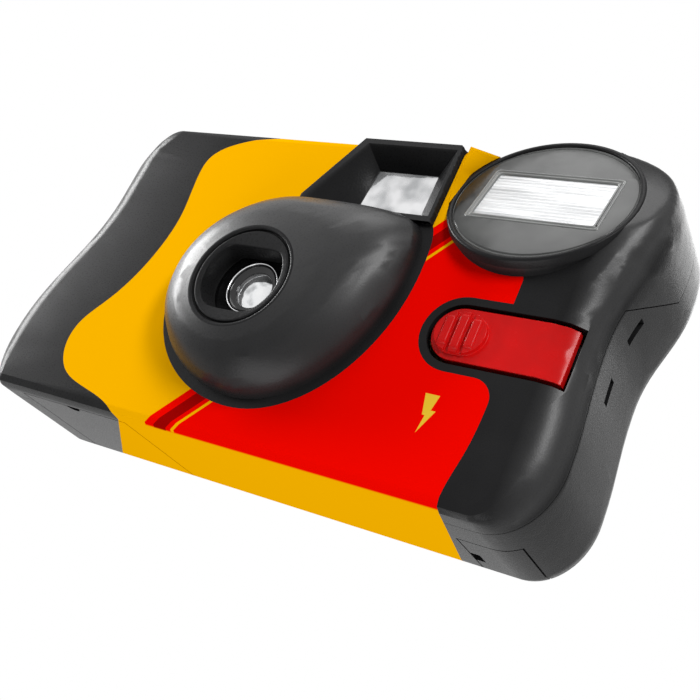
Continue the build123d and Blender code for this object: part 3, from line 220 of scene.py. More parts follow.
def softbox(name, place, size, power):
    """A rectangular lamp of size (width, height) in metres, turned to the part's middle, in watts."""
    lamp = bpy.data.lights.new(name, "AREA")
    lamp.shape = "RECTANGLE"
    lamp.size, lamp.size_y = size
    lamp.energy = power
    away = np.array(place) - lamp_aim
    away = away / np.linalg.norm(away)
    side = np.cross((0, 0, 1), away)
    side = side / np.linalg.norm(side)
    stand(put(name, lamp), side, np.cross(away, side), away, place)


softbox("key_lamp", (-0.06, -0.28, 0.58), (0.40, 0.30), 1.3)
softbox("left_lamp", (-0.62, -0.16, 0.20), (0.20, 0.36), 5.0)
softbox("right_lamp", (0.41, -0.40, 0.28), (0.10, 0.24), 2.1)
softbox("low_lamp", (0.05, -0.08, -0.55), (0.50, 0.40), 2.6)
softbox("rear_lamp", (0.05, 0.50, 0.45), (0.60, 0.30), 1.2)


# Front cover: one moulding of black high-impact plastic with a fine spark-eroded grain. It has the lens dome, the
# viewfinder hood and the flash turret, and its mould is polished at the dome and at the rounding of the right end.
cloud_size, cloud_low, cloud_high = 0.012, 0.35, 0.65
dark_share, light_share = 0.85, 1.18
rub_size, rub_stretch, rub_low, rub_high, rub_rough = 0.0016, (1.0, 1.0, 4.0), 0.62, 0.78, 0.05
smoother, rougher = 0.04, 0.05


def moulded(name, colour, roughness, grain, depth, polish=None, **constant):
    """A moulded plastic with a grain of a size and depth in metres, faint clouding and rubbed places.

    polish gives the weight of a glossier skin, from the material's own nodes.
    """
    finish = Finish(name)
    cloud = finish.noise(cloud_size, detail=3.0)
    fine = finish.noise(grain, detail=3.0)
    if polish:
        constant["Coat_Weight"] = polish(finish) * finish.spread(fine, start=0.9, end=1.0)
    rubbed = finish.ramp(finish.noise(rub_size, 4.0, rub_stretch), rub_low, rub_high, end=rub_rough)
    dark, light = (tuple(min(1.0, share * value) for value in colour) for share in (dark_share, light_share))
    return finish.shade(
        Base_Color=finish.blend(finish.ramp(cloud, cloud_low, cloud_high), dark, light),
        Roughness=finish.spread(fine, roughness - smoother, roughness + rougher) + rubbed,
        Normal=finish.bump(fine, depth),
        **constant,
    )


node_body = {node: body for body, nodes in frame["record"]["behaviour"]["bodies"].items() for node in nodes}
merge_reach, flat_angle, bevel_angle = 2e-6, math.radians(0.3), math.radians(48)


def dress(node, material, sharp=28.0, bevel=0.0, carve=None):
    """Replaces a CAD node by a merged copy, with smooth faces but for edges over sharp degrees.

    carve changes the copy: it opens it where another piece stands in, or trims what stands out.
    """
    mesh = frame["nodes"][node].data.copy()
    work = bmesh.new()
    work.from_mesh(mesh)
    bmesh.ops.remove_doubles(work, verts=work.verts, dist=merge_reach)
    bmesh.ops.dissolve_limit(work, angle_limit=flat_angle, verts=work.verts, edges=work.edges)
    if carve:
        carve(work)
    for edge in work.edges:
        edge.smooth = len(edge.link_faces) == 2 and edge.calc_face_angle(math.pi) < math.radians(sharp)
    for face in work.faces:
        face.smooth = True
    work.to_mesh(mesh)
    work.free()
    mesh.materials.clear()
    mesh.materials.append(material)
    made = put(node + "_surface", mesh)
    if bevel:
        soften = made.modifiers.new("soft_edges", "BEVEL")
        soften.width = bevel
        soften.segments = 2
        soften.limit_method = "ANGLE"
        soften.angle_limit = bevel_angle
    weigh = made.modifiers.new("flat_faces", "WEIGHTED_NORMAL")
    weigh.keep_sharp = True
    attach(made, node_body[node])
    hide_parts(node)


cover_plastic = dict(
    colour=(0.014, 0.014, 0.0145), roughness=0.29, grain=0.00030, depth=0.000028, Specular_IOR_Level=0.07)
skin_weight, skin_foot = 0.60, 0.12
dome_skin_y, dome_skin_z = (-0.0166, -0.0156), (0.009, 0.026)
flank_skin_x, flank_skin_y = (0.0490, 0.0530), (-0.0115, -0.0095)


def skin(finish):
    """The weight of the polished skin: on the dome, fading towards its foot, and on the right rounding."""
    x, y, z = finish.axes()
    dome = finish.ramp(y, *dome_skin_y, 1.0, 0.0) * finish.ramp(z, *dome_skin_z, skin_foot, 1.0)
    flank = finish.ramp(x, *flank_skin_x) * finish.ramp(y, *flank_skin_y, 1.0, 0.0)
    return dome.larger(flank) * skin_weight


front_black = moulded("black_front_plastic", polish=skin, Coat_Roughness=0.40, **cover_plastic)


def middles(items):
    """The middles of faces or of edges, in millimetres: half of 1000 times the sum of an edge's two ends."""
    if isinstance(items[0], bmesh.types.BMEdge):
        return np.array([(edge.verts[0].co + edge.verts[1].co) * 500 for edge in items])
    return np.array([face.calc_center_median() * 1000 for face in items])


def places(verts):
    """The places of points, in millimetres."""
    return np.array([vert.co[:] for vert in verts]) * 1000


def normals(faces):
    """The faces' normals."""
    return np.array([face.normal[:] for face in faces])


def chosen(items, marks):
    """The marked ones of some faces, edges or points."""
    return [item for item, mark in zip(items, marks) if mark]


lens_x, lens_z = -1.5, 25.5
crown_r, crown_y = 9.6, -24.0
well_r, well_floor_y = 7.65, -20.05
slack = 0.02


def open_well(work):
    """Opens the dome's flat crown and the lens well, within their circles round the lens axis."""
    faces = list(work.faces)
    place = middles(faces)
    reach = np.hypot(place[:, 0] - lens_x, place[:, 2] - lens_z)
    crown = (reach < crown_r) & (place[:, 1] < crown_y + slack)
    well = (reach < well_r) & (place[:, 1] < well_floor_y)
    bmesh.ops.delete(work, geom=chosen(faces, crown | well), context="FACES")


tongue_x, tongue_low, tongue_high = 54.2, 25.0, 41.0
tongue_front_y, tongue_rear_y = -12.2, -8.0
tongue_faces, tongue_rims = 1.2, 1.5
square, forward = 0.999, 0.5


def at_tongues(place, depth):
    """Marks the points at the snap tongues that are at most depth within their outer faces."""
    return ((place[:, 0] > tongue_x - depth) & (place[:, 2] > tongue_low) & (place[:, 2] < tongue_high)
            & (place[:, 1] < tongue_rear_y))


def close_tongues(work):
    """Takes off the snap tongues' square corners, which stand out of the flank, and fills their holes."""
    faces = list(work.faces)
    place = middles(faces)
    normal = normals(faces)
    corner = at_tongues(place, tongue_faces) & (np.abs(normal) > square).any(axis=1)
    corner = corner & (normal[:, 1] < forward) & (place[:, 1] > tongue_front_y - slack)
    bmesh.ops.delete(work, geom=chosen(faces, corner), context="FACES")
    rims = [edge for edge in work.edges if edge.is_boundary]
    bmesh.ops.holes_fill(work, edges=chosen(rims, at_tongues(middles(rims), tongue_rims)), sides=0)


turret_middle = np.array((38.1, -13.0, 53.0))
turret_lean = math.radians(18)
turret_side = np.array((1.0, 0.0, 0.0))
turret_up = np.array((0.0, math.sin(turret_lean), math.cos(turret_lean)))
turret_out = np.array((0.0, -math.cos(turret_lean), math.sin(turret_lean)))
turret_axes = np.stack([turret_side, turret_up, turret_out])
turret_r, turret_reach = 15.4, 21.0


def from_turret(points):
    """How far points are to the right, up and out from the turret's middle, in its leaning plane."""
    return ((points - turret_middle) @ turret_axes.T).T


def on_turret(side, up, out):
    """Points from distances to the right, up and out from the turret's middle."""
    return turret_middle + np.stack(np.broadcast_arrays(side, up, out), axis=-1) @ turret_axes


cut_rounds, cut_length, cut_depth, cut_fan = 7, 0.7, 2.0, 0.0015


def cut_fine(work):
    """Halves the edges round the turret until they are short enough to bend."""
    for again in range(cut_rounds):
        edges = list(work.edges)
        side, up, out = from_turret(middles(edges))
        length = np.array([edge.calc_length() for edge in edges]) * 1000
        near = (np.hypot(side, up) < turret_reach + length / 2) & (out > -cut_depth - length / 2)
        long = chosen(edges, near & (length > cut_length))
        if not long:
            break
        bmesh.ops.subdivide_edges(work, edges=long, cuts=1)
        fans = [face for face in work.faces
                if len(face.verts) > 4 and any(edge.calc_length() < cut_fan for edge in face.edges)]
        bmesh.ops.triangulate(work, faces=fans)


front_y, shoulder_left = -15.0, -15.9
mouth_r, mouth_depth, lip_depth, lip_facing = 15.1, 0.8, 0.4, -0.3
rim_out, rim_fall = 0.30, 0.2
flank_foot_up, flank_sunk, flank_lift, least_span = -6.0, 1.0, 0.7, 0.01
round_left, round_foot, round_depth = -9.0, -9.0, 4.5
round_gap, round_over, round_passes = 0.4, 0.5, 14
tiny = 1e-6


def trim_turret(work):
    """Opens the turret's mouth, takes down the wall that stands in front of the disc, and rounds the shoulder.

    A point further out than its limit is pushed back to it. At the right the limit falls away from the rim. At the
    left it is a straight line from just under the rim to the front face.
    """
    faces = list(work.faces)
    side, up, out = from_turret(middles(faces))
    reach = np.hypot(side, up)
    mouth = (reach < mouth_r) & (out > -mouth_depth)
    lip = (reach < turret_reach) & (out > -lip_depth) & (normals(faces) @ turret_out < lip_facing)
    bmesh.ops.delete(work, geom=chosen(faces, mouth | lip), context="FACES")

    verts = list(work.verts)
    side, up, out = from_turret(places(verts))
    reach = np.hypot(side, up)
    face_out = (turret_middle[1] - front_y + up * math.sin(turret_lean)) / math.cos(turret_lean)
    rim_side = np.sqrt(np.clip(turret_r ** 2 - up ** 2, 0, None))
    share = np.clip((-side - rim_side) / np.maximum(-shoulder_left - rim_side, least_span), 0, 1)
    left_limit = rim_out - flank_sunk + share * (face_out - rim_out + flank_lift)
    right_limit = rim_out - rim_fall * np.maximum(reach - turret_r, 0)
    limit = np.where((side < 0) & (up > flank_foot_up), left_limit, right_limit)
    push = (out > limit) & (reach < turret_reach) & (side > shoulder_left)
    for vert, place in zip(verts, on_turret(side, up, np.where(push, limit, out)) / 1000):
        vert.co = place
    bmesh.ops.dissolve_degenerate(work, edges=work.edges, dist=tiny)

    verts = list(work.verts)
    side, up, out = from_turret(places(verts))
    reach = np.hypot(side, up)
    shoulder = chosen(verts, (side > round_left) & (up > round_foot) & (out > -round_depth)
                      & (reach > turret_r + round_gap) & (reach < turret_reach + round_over))
    for again in range(round_passes):
        bmesh.ops.smooth_vert(work, verts=shoulder, factor=0.5, use_axis_x=True, use_axis_y=True, use_axis_z=True)


def carve_front(work):
    """All that the front cover's copy needs, in the order in which it is done."""
    for step in (open_well, close_tongues, cut_fine, trim_turret):
        step(work)


dress("front_cover", front_black, carve=carve_front)

# Rear cover, film door and battery door: the same black plastic, dull all over. The cover snaps on to the front
# one all round, and each door is hinged on a thin web that bends.
cover_black = moulded("black_cover_plastic", **cover_plastic)
for node in ("rear_cover", "film_door", "battery_door"):
    dress(node, cover_black)


# Lens well: the crown of the dome, with a turned groove round a plate whose opening is flat above and below.
# It belongs to the front cover's moulding, and the retainer and the lens sit at its bottom.
pole_merge = 3e-6


def sheet(name, points, material, body, closed=False, flip=False):
    """A smooth surface on a grid of points in millimetres, (rows, columns, 3), closed along its columns or not.

    Points that meet, at a pole or where the last row comes back to the first, become one.
    """
    rows, columns = points.shape[:2]
    mesh = bpy.data.meshes.new(name)
    index = np.arange(rows * columns).reshape(rows, columns)
    if closed:
        index = np.hstack([index, index[:, :1]])
    corners = [index[:-1, :-1], index[:-1, 1:], index[1:, 1:], index[1:, :-1]]
    faces = np.stack(corners[::-1] if flip else corners, axis=-1).reshape(-1, 4)
    mesh.from_pydata((points.reshape(-1, 3) / 1000).tolist(), [], faces.tolist())
    work = bmesh.new()
    work.from_mesh(mesh)
    bmesh.ops.remove_doubles(work, verts=work.verts, dist=pole_merge)
    work.to_mesh(mesh)
    work.free()
    mesh.polygons.foreach_set("use_smooth", np.ones(len(mesh.polygons), bool))
    mesh.materials.append(material)
    made = put(name, mesh)
    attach(made, body)


def turned(stations, opening=None, columns=144):
    """Points of a profile of (reach, Y) carried round the lens axis.

    opening gives, at each turn, the share by which each row is drawn to its outline, and that outline's reach.
    """
    turn = np.linspace(0, 2 * np.pi, columns, endpoint=False)
    reach, depth = np.array(stations).T[:, :, None] * np.ones(columns)
    if opening is not None:
        share, outline = opening(turn)
        reach = reach * (1 - share[:, None]) + outline * reach / well_r * share[:, None]
    return np.stack([lens_x + reach * np.cos(turn), depth, lens_z + reach * np.sin(turn)], axis=-1)


well_stations = (
    (9.62, -23.97), (9.50, -24.00), (9.22, -24.00), (9.06, -23.97), (8.97, -23.88), (8.93, -23.70),
    (8.90, -23.40), (8.60, -23.36), (8.55, -23.66), (8.50, -23.78), (8.40, -23.84), (8.22, -23.83),
    (7.90, -23.76), (7.75, -23.74), (7.65, -23.66), (7.60, -23.40), (7.50, -21.60), (7.42, -19.90),
)
well_plate_row = 12
barrel_r, barrel_low, barrel_high, barrel_power = 7.45, 6.4, 5.5, 16


def barrel(turn):
    """How far each row follows the opening: a circle cut by a flat above and one below, with soft corners.

    The circle and the flat meet as the sum of their inverse reaches to a high power.
    """
    flat = np.where(np.sin(turn) > 0, barrel_high, barrel_low) / np.maximum(np.abs(np.sin(turn)), tiny)
    outline = ((1 / barrel_r) ** barrel_power + (1 / flat) ** barrel_power) ** (-1 / barrel_power)
    share = (np.arange(len(well_stations)) >= well_plate_row).astype(float)
    return share, outline


sheet("lens_well", turned(well_stations, barrel), cover_black, "camera", closed=True, flip=True)

# Lens retainer: a glossier black ring with a stepped throat, pressed over the lens from the front.
# The step round the glass is bright where it catches the lamps.
throat_black = moulded("black_throat_plastic", (0.006, 0.006, 0.0065), roughness=0.20, grain=0.0012, depth=0.000008)
throat_stations = (
    (7.60, -19.74), (5.10, -19.76), (4.92, -19.90), (4.78, -19.96), (4.62, -19.95), (4.50, -19.84),
    (4.44, -19.60), (4.30, -19.46), (3.80, -19.30), (3.50, -19.28), (3.38, -19.24), (3.30, -19.12), (3.28, -19.00),
)
sheet("lens_throat", turned(throat_stations), throat_black, "camera", closed=True, flip=True)

# Retaining ring: a circle of bright wire, sprung into the throat, which holds the lens down.
# Its section is a circle whose last point comes back to the first.
ring_r, ring_y, wire_r, wire_sides = 4.66, -19.98, 0.13, 12
around = np.append(np.linspace(0, 2 * np.pi, wire_sides, endpoint=False), 0)
wire = np.stack([ring_r + wire_r * np.cos(around), ring_y - wire_r * np.sin(around)], axis=-1)
ring_finish = Finish("bright_wire")
scratch = ring_finish.noise(size=0.0006, detail=3.0)
bright_wire = ring_finish.shade(
    Base_Color=ring_finish.blend(scratch, (0.70, 0.70, 0.71), (0.86, 0.86, 0.87)),
    Metallic=1.0,
    Roughness=ring_finish.spread(scratch, 0.12, 0.24),
    Normal=ring_finish.bump(scratch, depth=0.000006),
)
sheet("lens_ring", turned(wire), bright_wire, "camera", closed=True, flip=True)

# Taking lens: one clear moulded meniscus with a polished front, which shows the room. Its colour adds patches of
# painted reflection, grey to near white.
# The front is a parabola turned round the lens axis.
lens_edge_r, lens_edge_y, lens_rise, lens_rows, pole_r = 3.30, -19.04, 0.60, 14, 0.001
cap = np.linspace(1, 0, lens_rows)[:-1]
cap_stations = [(lens_edge_r * share, lens_edge_y - lens_rise * (1 - share * share)) for share in cap]
cap_stations.append((pole_r, lens_edge_y - lens_rise))
reflection_stops = (
    (0.28, (0.30, 0.305, 0.31)), (0.42, (0.62, 0.63, 0.64)), (0.50, (0.93, 0.94, 0.95)), (0.75, (0.99, 0.99, 0.99)))
patch_share = 0.8
glass = Finish("lens_glass")
patch = glass.noise(size=0.0022, detail=1.0)
deep = glass.noise(size=0.0009, detail=2.0)
# Painted reflection: patches that turn the lens's colour from grey to near white.
painted_reflection = patch * patch_share + deep * (1 - patch_share)
lens_glass = glass.shade(
    Base_Color=glass.node("ShaderNodeValToRGB", {"stops": reflection_stops}, {0: painted_reflection}),
    Metallic=0.75,
    Roughness=glass.spread(deep, 0.06, 0.14),
    Normal=glass.bump(patch, depth=0.00010),
    Coat_Weight=glass.drift(deep, 0.9, 1.0),
    Coat_Roughness=0.02,
)
sheet("taking_lens_front", turned(cap_stations, columns=72), lens_glass, "camera", closed=True, flip=True)


# Viewfinder window: the polished front face of a clear moulded block, which closes the foot of the hood's recess.
# It is a rectangle that swells a little towards its middle.
alpha_more = 0.08


def clear_part(name, dim_reflection_tone, bright_reflection_tone, alpha, **constant):
    """A clear polished moulding whose colour has patches of painted reflection, between a dim and a bright tone."""
    finish = Finish(name)
    patch = finish.noise(size=0.004, detail=1.5)
    wave = finish.noise(size=0.003, detail=2.0)
    return finish.shade(
        # Painted reflection: the colour goes from the dim tone to the bright one in patches.
        Base_Color=finish.blend(finish.ramp(patch, low=0.38, high=0.62), dim_reflection_tone, bright_reflection_tone),
        Roughness=finish.spread(wave, 0.05, 0.10),
        Alpha=finish.drift(patch, alpha, min(1.0, alpha + alpha_more)),
        Normal=finish.bump(wave, depth=0.00005),
        Coat_Weight=finish.drift(wave, 0.5, 0.7),
        Coat_Roughness=0.03,
        **constant,
    )


def grid(rows, columns, low=-1.0):
    """Two arrays that run from low to 1, the first along the rows and the second along the columns."""
    return np.meshgrid(np.linspace(low, 1, rows), np.linspace(low, 1, columns), indexing="ij")


# Its colour has patches of painted reflection, from grey to near white.
window_glass = clear_part("viewfinder_glass", (0.50, 0.51, 0.52), (0.92, 0.92, 0.93), alpha=0.90, Metallic=0.7)
glass_left, glass_right, glass_low, glass_high = 3.6, 18.4, 45.6, 56.8
glass_y, glass_swell = -11.86, 0.22
u, v = grid(rows=33, columns=25, low=0.0)
window_points = np.stack([
    glass_left + (glass_right - glass_left) * u,
    glass_y - glass_swell * np.sin(np.pi * u) * np.sin(np.pi * v),
    glass_low + (glass_high - glass_low) * v,
], axis=-1)
sheet("viewfinder_window", window_points, window_glass, "camera", flip=True)


# Wrap label: a glossy printed film, glued into both covers by its own thickness. Its flap rides on the film door.
# It is amber all round, with a red field and two stripes below a straight slanting edge on the front.
amber, red, deep_red, bolt_amber = (1.0, 0.479, 0.0), (0.97, 0.002, 0.0), (0.36, 0.0015, 0.001), (0.93, 0.60, 0.04)
front_print = (-0.0140, -0.0136)
slant, slant_foot_x = math.atan2(0.0455, 0.0380), -0.0143
band_middle, band_half = 0.00255, 0.00105
line_middle, line_half = 0.00470, 0.00026
print_edge = 0.00003
dust_share = 0.3
label_print = Finish("printed_label")
x, y, z = label_print.axes()


def inside(value):
    """1 where a length in metres is above zero, with an edge as sharp as print."""
    return label_print.ramp(value, -print_edge, print_edge)


def beside(start, end):
    """1 on the right of a line between two points (X, Z) in millimetres, seen from its start."""
    dx, dz = (end[0] - start[0]) / 1000, (end[1] - start[1]) / 1000
    length = math.hypot(dx, dz)
    return inside((x - start[0] / 1000) * (dz / length) - (z - start[1] / 1000) * (dx / length))


on_front = label_print.ramp(y, *front_print, 1.0, 0.0)
across = (x - slant_foot_x) * math.sin(slant) - z * math.cos(slant)
field = inside(across) * on_front
band = inside(band_half - abs(across - band_middle)) * on_front
line = inside(line_half - abs(across - line_middle)) * on_front

# The bolt below the flash button is a block over a point, each between two lines that run from foot to top.
head_low, head_high, point_high = 0.0128, 0.0162, 0.0137
head_left, head_right = ((34.1, 12.8), (33.3, 16.2)), ((35.0, 12.8), (35.7, 16.2))
point_left, point_right = ((34.2, 9.9), (34.65, 13.7)), ((34.2, 9.9), (36.0, 13.7))
head = inside(head_high - z) * inside(z - head_low) * beside(*head_left) * (1 - beside(*head_right))
point = inside(point_high - z) * beside(*point_left) * (1 - beside(*point_right))
bolt = head.larger(point) * on_front

ground = label_print.blend(field, amber, red)
for mask, ink in ((band, deep_red), (line, amber), (bolt, bolt_amber)):
    ground = label_print.blend(mask, ground, ink)
ripple = label_print.noise(size=0.02, detail=2.0)
dust = label_print.noise(size=0.0009, detail=3.0)
label_film = label_print.shade(
    Base_Color=ground,
    Roughness=label_print.ramp(ripple + dust * dust_share, low=0.4, high=0.9, start=0.34, end=0.44),
    Normal=label_print.bump(ripple, depth=0.00008),
    Specular_IOR_Level=0.0,
)
for node in ("label_wrap", "label_flap"):
    dress(node, label_film)

# Label flank: beside the turret the film carries on, ruled from the label's edge to the turret's rim.
# Its last row turns back into the roof, where the film is folded over.
flank_edge_x, flank_edge_y, flank_low_z, flank_high_z = 22.78, -15.03, 48.3, 60.6
flank_high_up, flank_r, flank_chord, flank_out = 9.7, 15.5, 14.95, 0.44
flank_fold = (0.0, 2.2, -0.7)
u, v = np.linspace(0, 1, 13)[:, None, None], np.linspace(0, 1, 33)
up = (flank_low_z - turret_middle[2]) * (1 - v) + flank_high_up * v
rim = on_turret(-np.minimum(flank_chord, np.sqrt(flank_r ** 2 - up ** 2)), up, flank_out)
edge_z = flank_low_z + (flank_high_z - flank_low_z) * v
edge = np.stack(np.broadcast_arrays(flank_edge_x, flank_edge_y, edge_z), axis=-1)
flank = edge * (1 - u) + rim * u
flank = np.concatenate([flank, flank[:, -1:] + flank_fold], axis=1)
sheet("label_flank", flank, label_film, "camera", flip=True)


# Flash disc: a smoked clear bezel that is let into the turret's ring. Round the window it dips into a moat.
# Each row goes by its share from the disc's circle to the frame's outline, and stands out by its rise.
frame_power = 42


def frame_line(turn, half):
    """A rectangle with round corners, as a point for each turn: its pairs of sides meet in a sum of high powers."""
    sides = [np.abs(wave / size) ** frame_power for wave, size in zip((np.cos(turn), np.sin(turn)), half)]
    reach = (sides[0] + sides[1]) ** (-1 / frame_power)
    return reach * np.cos(turn), reach * np.sin(turn)


disc_r, disc_columns, window_half, moat = 14.6, 192, (10.2, 5.5), 0.95
disc_rows = (
    (0.0, -0.30), (0.004, -0.05), (0.012, 0.06), (0.030, 0.10), (0.045, 0.10), (0.055, 0.05), (0.070, 0.05),
    (0.085, 0.11), (0.12, 0.14), (0.30, 0.20), (0.50, 0.23), (0.70, 0.24), (0.90, 0.24), (1.0, 0.24),
)
smoked = Finish("smoked_disc")
haze = smoked.noise(size=0.008, detail=2.0)
fine = smoked.noise(size=0.0012, detail=3.0)
smoked_disc = smoked.shade(
    Base_Color=smoked.blend(
        smoked.ramp(haze, cloud_low, cloud_high), (0.022, 0.023, 0.022), (0.046, 0.048, 0.046)),
    Roughness=smoked.spread(fine, 0.16, 0.24),
    Normal=smoked.bump(haze, depth=0.00012),
    Coat_Weight=smoked.drift(fine, 0.04, 0.12),
    Coat_Roughness=0.06,
    Specular_IOR_Level=0.25,
)
turn = np.linspace(0, 2 * np.pi, disc_columns, endpoint=False)
moat_side, moat_up = frame_line(turn, (window_half[0] + moat, window_half[1] + moat))
share, rise = np.array(disc_rows).T[:, :, None]
disc = on_turret(disc_r * np.cos(turn) * (1 - share) + moat_side * share,
                 disc_r * np.sin(turn) * (1 - share) + moat_up * share, rise)
sheet("flash_disc", disc, smoked_disc, "camera", closed=True)

# Turret rim: the rounded bead round the disc, moulded with the front cover.
# Its profile of (reach, out) is carried round the turret's axis.
rim_rows = (
    (14.62, -0.30), (14.62, 0.26), (14.72, 0.38), (14.95, 0.45), (15.25, 0.44), (15.46, 0.30), (15.55, 0.05),
    (15.60, -1.2),
)
reach, out = np.array(rim_rows).T[:, :, None]
bead = on_turret(reach * np.cos(turn), reach * np.sin(turn), out)
sheet("turret_rim", bead, cover_black, "camera", closed=True, flip=True)

# Window frame: a thin double edge of grey plastic, snapped round the flash window. At its right a black strip is
# painted shade for its slot.
# Its rows of (growth, out) are rounded rectangles, and the strip of painted shade is a shallow arch.
frame_rows = (
    (1.05, 0.20), (0.98, 0.34), (0.84, 0.38), (0.72, 0.34), (0.66, 0.16), (0.46, 0.14), (0.40, 0.32), (0.26, 0.36),
    (0.12, 0.33), (0.04, 0.22), (0.0, -0.10),
)
frame_overlap = 0.1
slot_side, slot_half_width, slot_half_height, slot_out, slot_arch = 10.72, 0.22, 5.3, 0.40, 0.03
frame_grey = moulded("grey_frame_plastic", (0.20, 0.205, 0.20), roughness=0.22, grain=0.0010, depth=0.00001)
grow, out = np.array(frame_rows).T[:, :, None]
side, up = frame_line(turn, (window_half[0] + grow - frame_overlap, window_half[1] + grow - frame_overlap))
sheet("flash_window_frame", on_turret(side, up, out), frame_grey, "camera", closed=True)
# Painted shade: a sheet of black plastic laid over the frame's right side, where its slot is dark.
u, v = grid(rows=7, columns=25)
slot_shade_points = on_turret(slot_side + slot_half_width * u, slot_half_height * v, slot_out - slot_arch * u * u)
sheet("flash_frame_slot_shade", slot_shade_points, throat_black, "camera")

# Flash window: clear plastic with seven ribs on each side of its middle line, which spread the light.
# Their height is that of a sine wave whose troughs are turned up. Behind are the folded reflector and the tube.
rib_depth, rib_count, window_sunk, cloud_share = 0.05, 7, 0.06, 0.6
lit = Finish("ribbed_window")
cloud = lit.noise(size=0.006, detail=2.0, stretch=(0.4, 1.0, 2.5))
streak = lit.noise(size=0.0016, detail=2.0, stretch=(0.15, 1.0, 2.0))
# Painted light: streaks from grey to near white in the window's colour stand for the glow of the fired flash behind
# it.
bright = lit.ramp(cloud * cloud_share + streak * (1 - cloud_share), low=0.36, high=0.62)
ribbed_glass = lit.shade(
    Base_Color=lit.blend(bright, (0.50, 0.51, 0.52), (0.92, 0.93, 0.94)),
    Roughness=lit.spread(streak, 0.08, 0.16),
    Normal=lit.bump(streak, depth=0.00005),
    Coat_Weight=lit.drift(streak, 0.6, 0.8),
    Coat_Roughness=0.04,
)
u, v = grid(rows=61, columns=181)
ribs = rib_depth * np.abs(np.sin(v * np.pi * rib_count))
window_front = on_turret(u * window_half[0], v * window_half[1], ribs - window_sunk)
sheet("flash_window_front", window_front, ribbed_glass, "camera")

# Flash bezel: the smoked moulding that carries the disc and the window, and snaps into the turret from in front.
# It keeps its CAD form.
dress("flash_bezel", smoked_disc)

# Flash button: a glossy red moulding that swings on two stub pins at its right end.
# Its thumb pad has three raised ribs, each a cushion that is flat on top and round at its edges.
red_moulding = moulded(
    "red_button_plastic", (0.60, 0.006, 0.006), roughness=0.24, grain=0.0030, depth=0.00001,
    Specular_IOR_Level=0.12)
dress("flash_button", red_moulding, bevel=0.00022)
grip_x, grip_z, grip_top, grip_pitch = 35.0, 26.5, -15.88, 2.2
rib_half_width, rib_rise, rib_side_half, rib_middle_half = 0.80, 0.42, 2.45, 2.95
across_power, along_power = 4, 12
u, v = grid(rows=17, columns=33)
cushion = np.sqrt(np.clip(1 - u ** across_power, 0, 1)) * np.sqrt(np.clip(1 - v ** along_power, 0, 1))
for name, step, half in (
    ("grip_rib_a", -1, rib_side_half), ("grip_rib_b", 0, rib_middle_half), ("grip_rib_c", 1, rib_side_half),
):
    rib_x = grip_x + step * grip_pitch + rib_half_width * u
    rib = np.stack([rib_x, grip_top - rib_rise * cushion, grip_z + half * v], axis=-1)
    sheet(name, rib, red_moulding, node_body["flash_button"], flip=True)


# Main frame and what snaps on to it: the mechanism cover, the aperture plate, the lens retainer and the
# release button. They are black plastic, and dull inside, so that no light strays to the film.
def keep(material, *nodes):
    """Shows CAD nodes in their own form, with one material."""
    for node in nodes:
        materials = frame["nodes"][node].data.materials
        materials.clear()
        materials.append(material)


inner_black = moulded("black_inner_plastic", (0.010, 0.010, 0.011), roughness=0.34, grain=0.0006, depth=0.00001)
keep(inner_black, "main_frame", "mechanism_cover", "aperture_plate", "lens_retainer", "shutter_button")

# Winding and release: spools, sprocket, counter disc and both levers are white acetal, which slides without
# oil, and the thumbwheel is grey. Each turns on a pin or in a hole of the black parts.
white_acetal = moulded("white_acetal", (0.74, 0.74, 0.70), roughness=0.36, grain=0.0008, depth=0.00001)
grey_wheel = moulded("grey_wheel_plastic", (0.045, 0.047, 0.050), roughness=0.45, grain=0.0005, depth=0.00002)
keep(white_acetal, "cassette_spool", "supply_spool", "sprocket", "counter_disc", "metering_lever",
     "high_energy_lever")
keep(grey_wheel, "thumbwheel")


# Metal parts: the shutter blade, the cassette's caps and the cell's contacts are stamped steel. The switch contact
# and the trigger coil are brass, and the reflector is bright foil, folded round the tube.
brush_stretch, metal_dark = (1.0, 1.0, 0.06), 0.9
metal_smoother, metal_rougher = 0.05, 0.08


def metal(name, colour, roughness, brush):
    """Sheet metal, with brush marks whose spacing is brush metres."""
    finish = Finish(name)
    marks = finish.noise(brush, detail=3.0, stretch=brush_stretch)
    return finish.shade(
        Base_Color=finish.blend(finish.noise(size=0.006), tuple(metal_dark * value for value in colour), colour),
        Metallic=1.0,
        Roughness=finish.spread(marks, roughness - metal_smoother, roughness + metal_rougher),
        Normal=finish.bump(marks, depth=0.000008),
    )


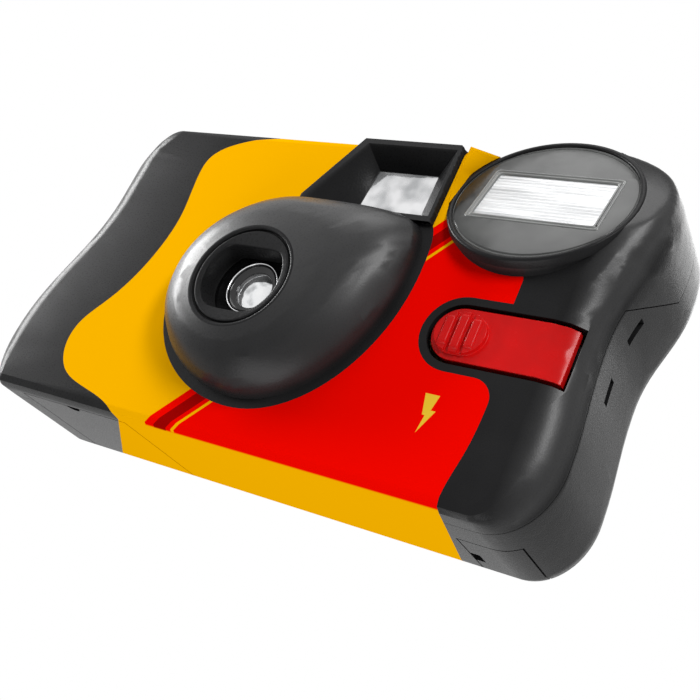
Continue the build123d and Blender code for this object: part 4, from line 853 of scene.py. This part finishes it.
steel = metal("pressed_steel", (0.62, 0.62, 0.63), roughness=0.28, brush=0.0005)
brass = metal("spring_brass", (0.80, 0.60, 0.28), roughness=0.30, brush=0.0004)
foil = metal("reflector_foil", (0.93, 0.93, 0.94), roughness=0.12, brush=0.0009)
keep(steel, "shutter_blade", "cassette_caps", "battery_contact_bottom", "battery_contact_top")
keep(brass, "switch_contact", "trigger_coil")
keep(foil, "flash_reflector")

# Film and cassette: brown film, wound from the supply roll into a lacquered tin shell.
# Black felt, glued in the shell's mouth, keeps the light out.
film_base = moulded(
    "brown_film", (0.060, 0.026, 0.016), roughness=0.22, grain=0.0010, depth=0.000004, Coat_Weight=0.3)
cassette_tin = moulded(
    "coated_cassette_tin", (0.42, 0.34, 0.05), roughness=0.34, grain=0.0020, depth=0.00001, Coat_Weight=0.2)
felt_pile = moulded("black_felt", (0.008, 0.008, 0.008), roughness=0.92, grain=0.00025, depth=0.00010)
keep(film_base, "film_strip", "film_roll")
keep(cassette_tin, "cassette_shell")
keep(felt_pile, "light_trap_felt")

# Flash circuit: a board of tan laminate, with the capacitor and the transformer in shrunk sleeves soldered to it.
# The coated AA cell beside it stands between its two contacts.
laminate = moulded("tan_laminate", (0.30, 0.19, 0.07), roughness=0.55, grain=0.0005, depth=0.00001)
shrink_sleeve = moulded(
    "shrink_sleeve", (0.012, 0.016, 0.035), roughness=0.30, grain=0.0015, depth=0.00001, Coat_Weight=0.3)
cell_can = moulded(
    "coated_cell_can", (0.045, 0.048, 0.052), roughness=0.32, grain=0.0020, depth=0.00001, Coat_Weight=0.3)
keep(laminate, "flash_board")
keep(shrink_sleeve, "capacitor", "transformer")
keep(cell_can, "battery")

# Clear parts: the lens, both viewfinder blocks, the windows of the counter and the flash, the light pipe and the
# ready lamp are polished acrylic, and the tube is glass. They are pressed or snapped into their seats.
# Their colour has patches of painted reflection, like the viewfinder window's.
clear_acrylic = clear_part("clear_acrylic", (0.62, 0.63, 0.64), (0.80, 0.81, 0.82), alpha=0.45)
keep(clear_acrylic, "taking_lens", "viewfinder_front_lens", "viewfinder_rear_lens", "counter_window",
     "flash_window", "flash_tube", "light_pipe", "ready_lamp")
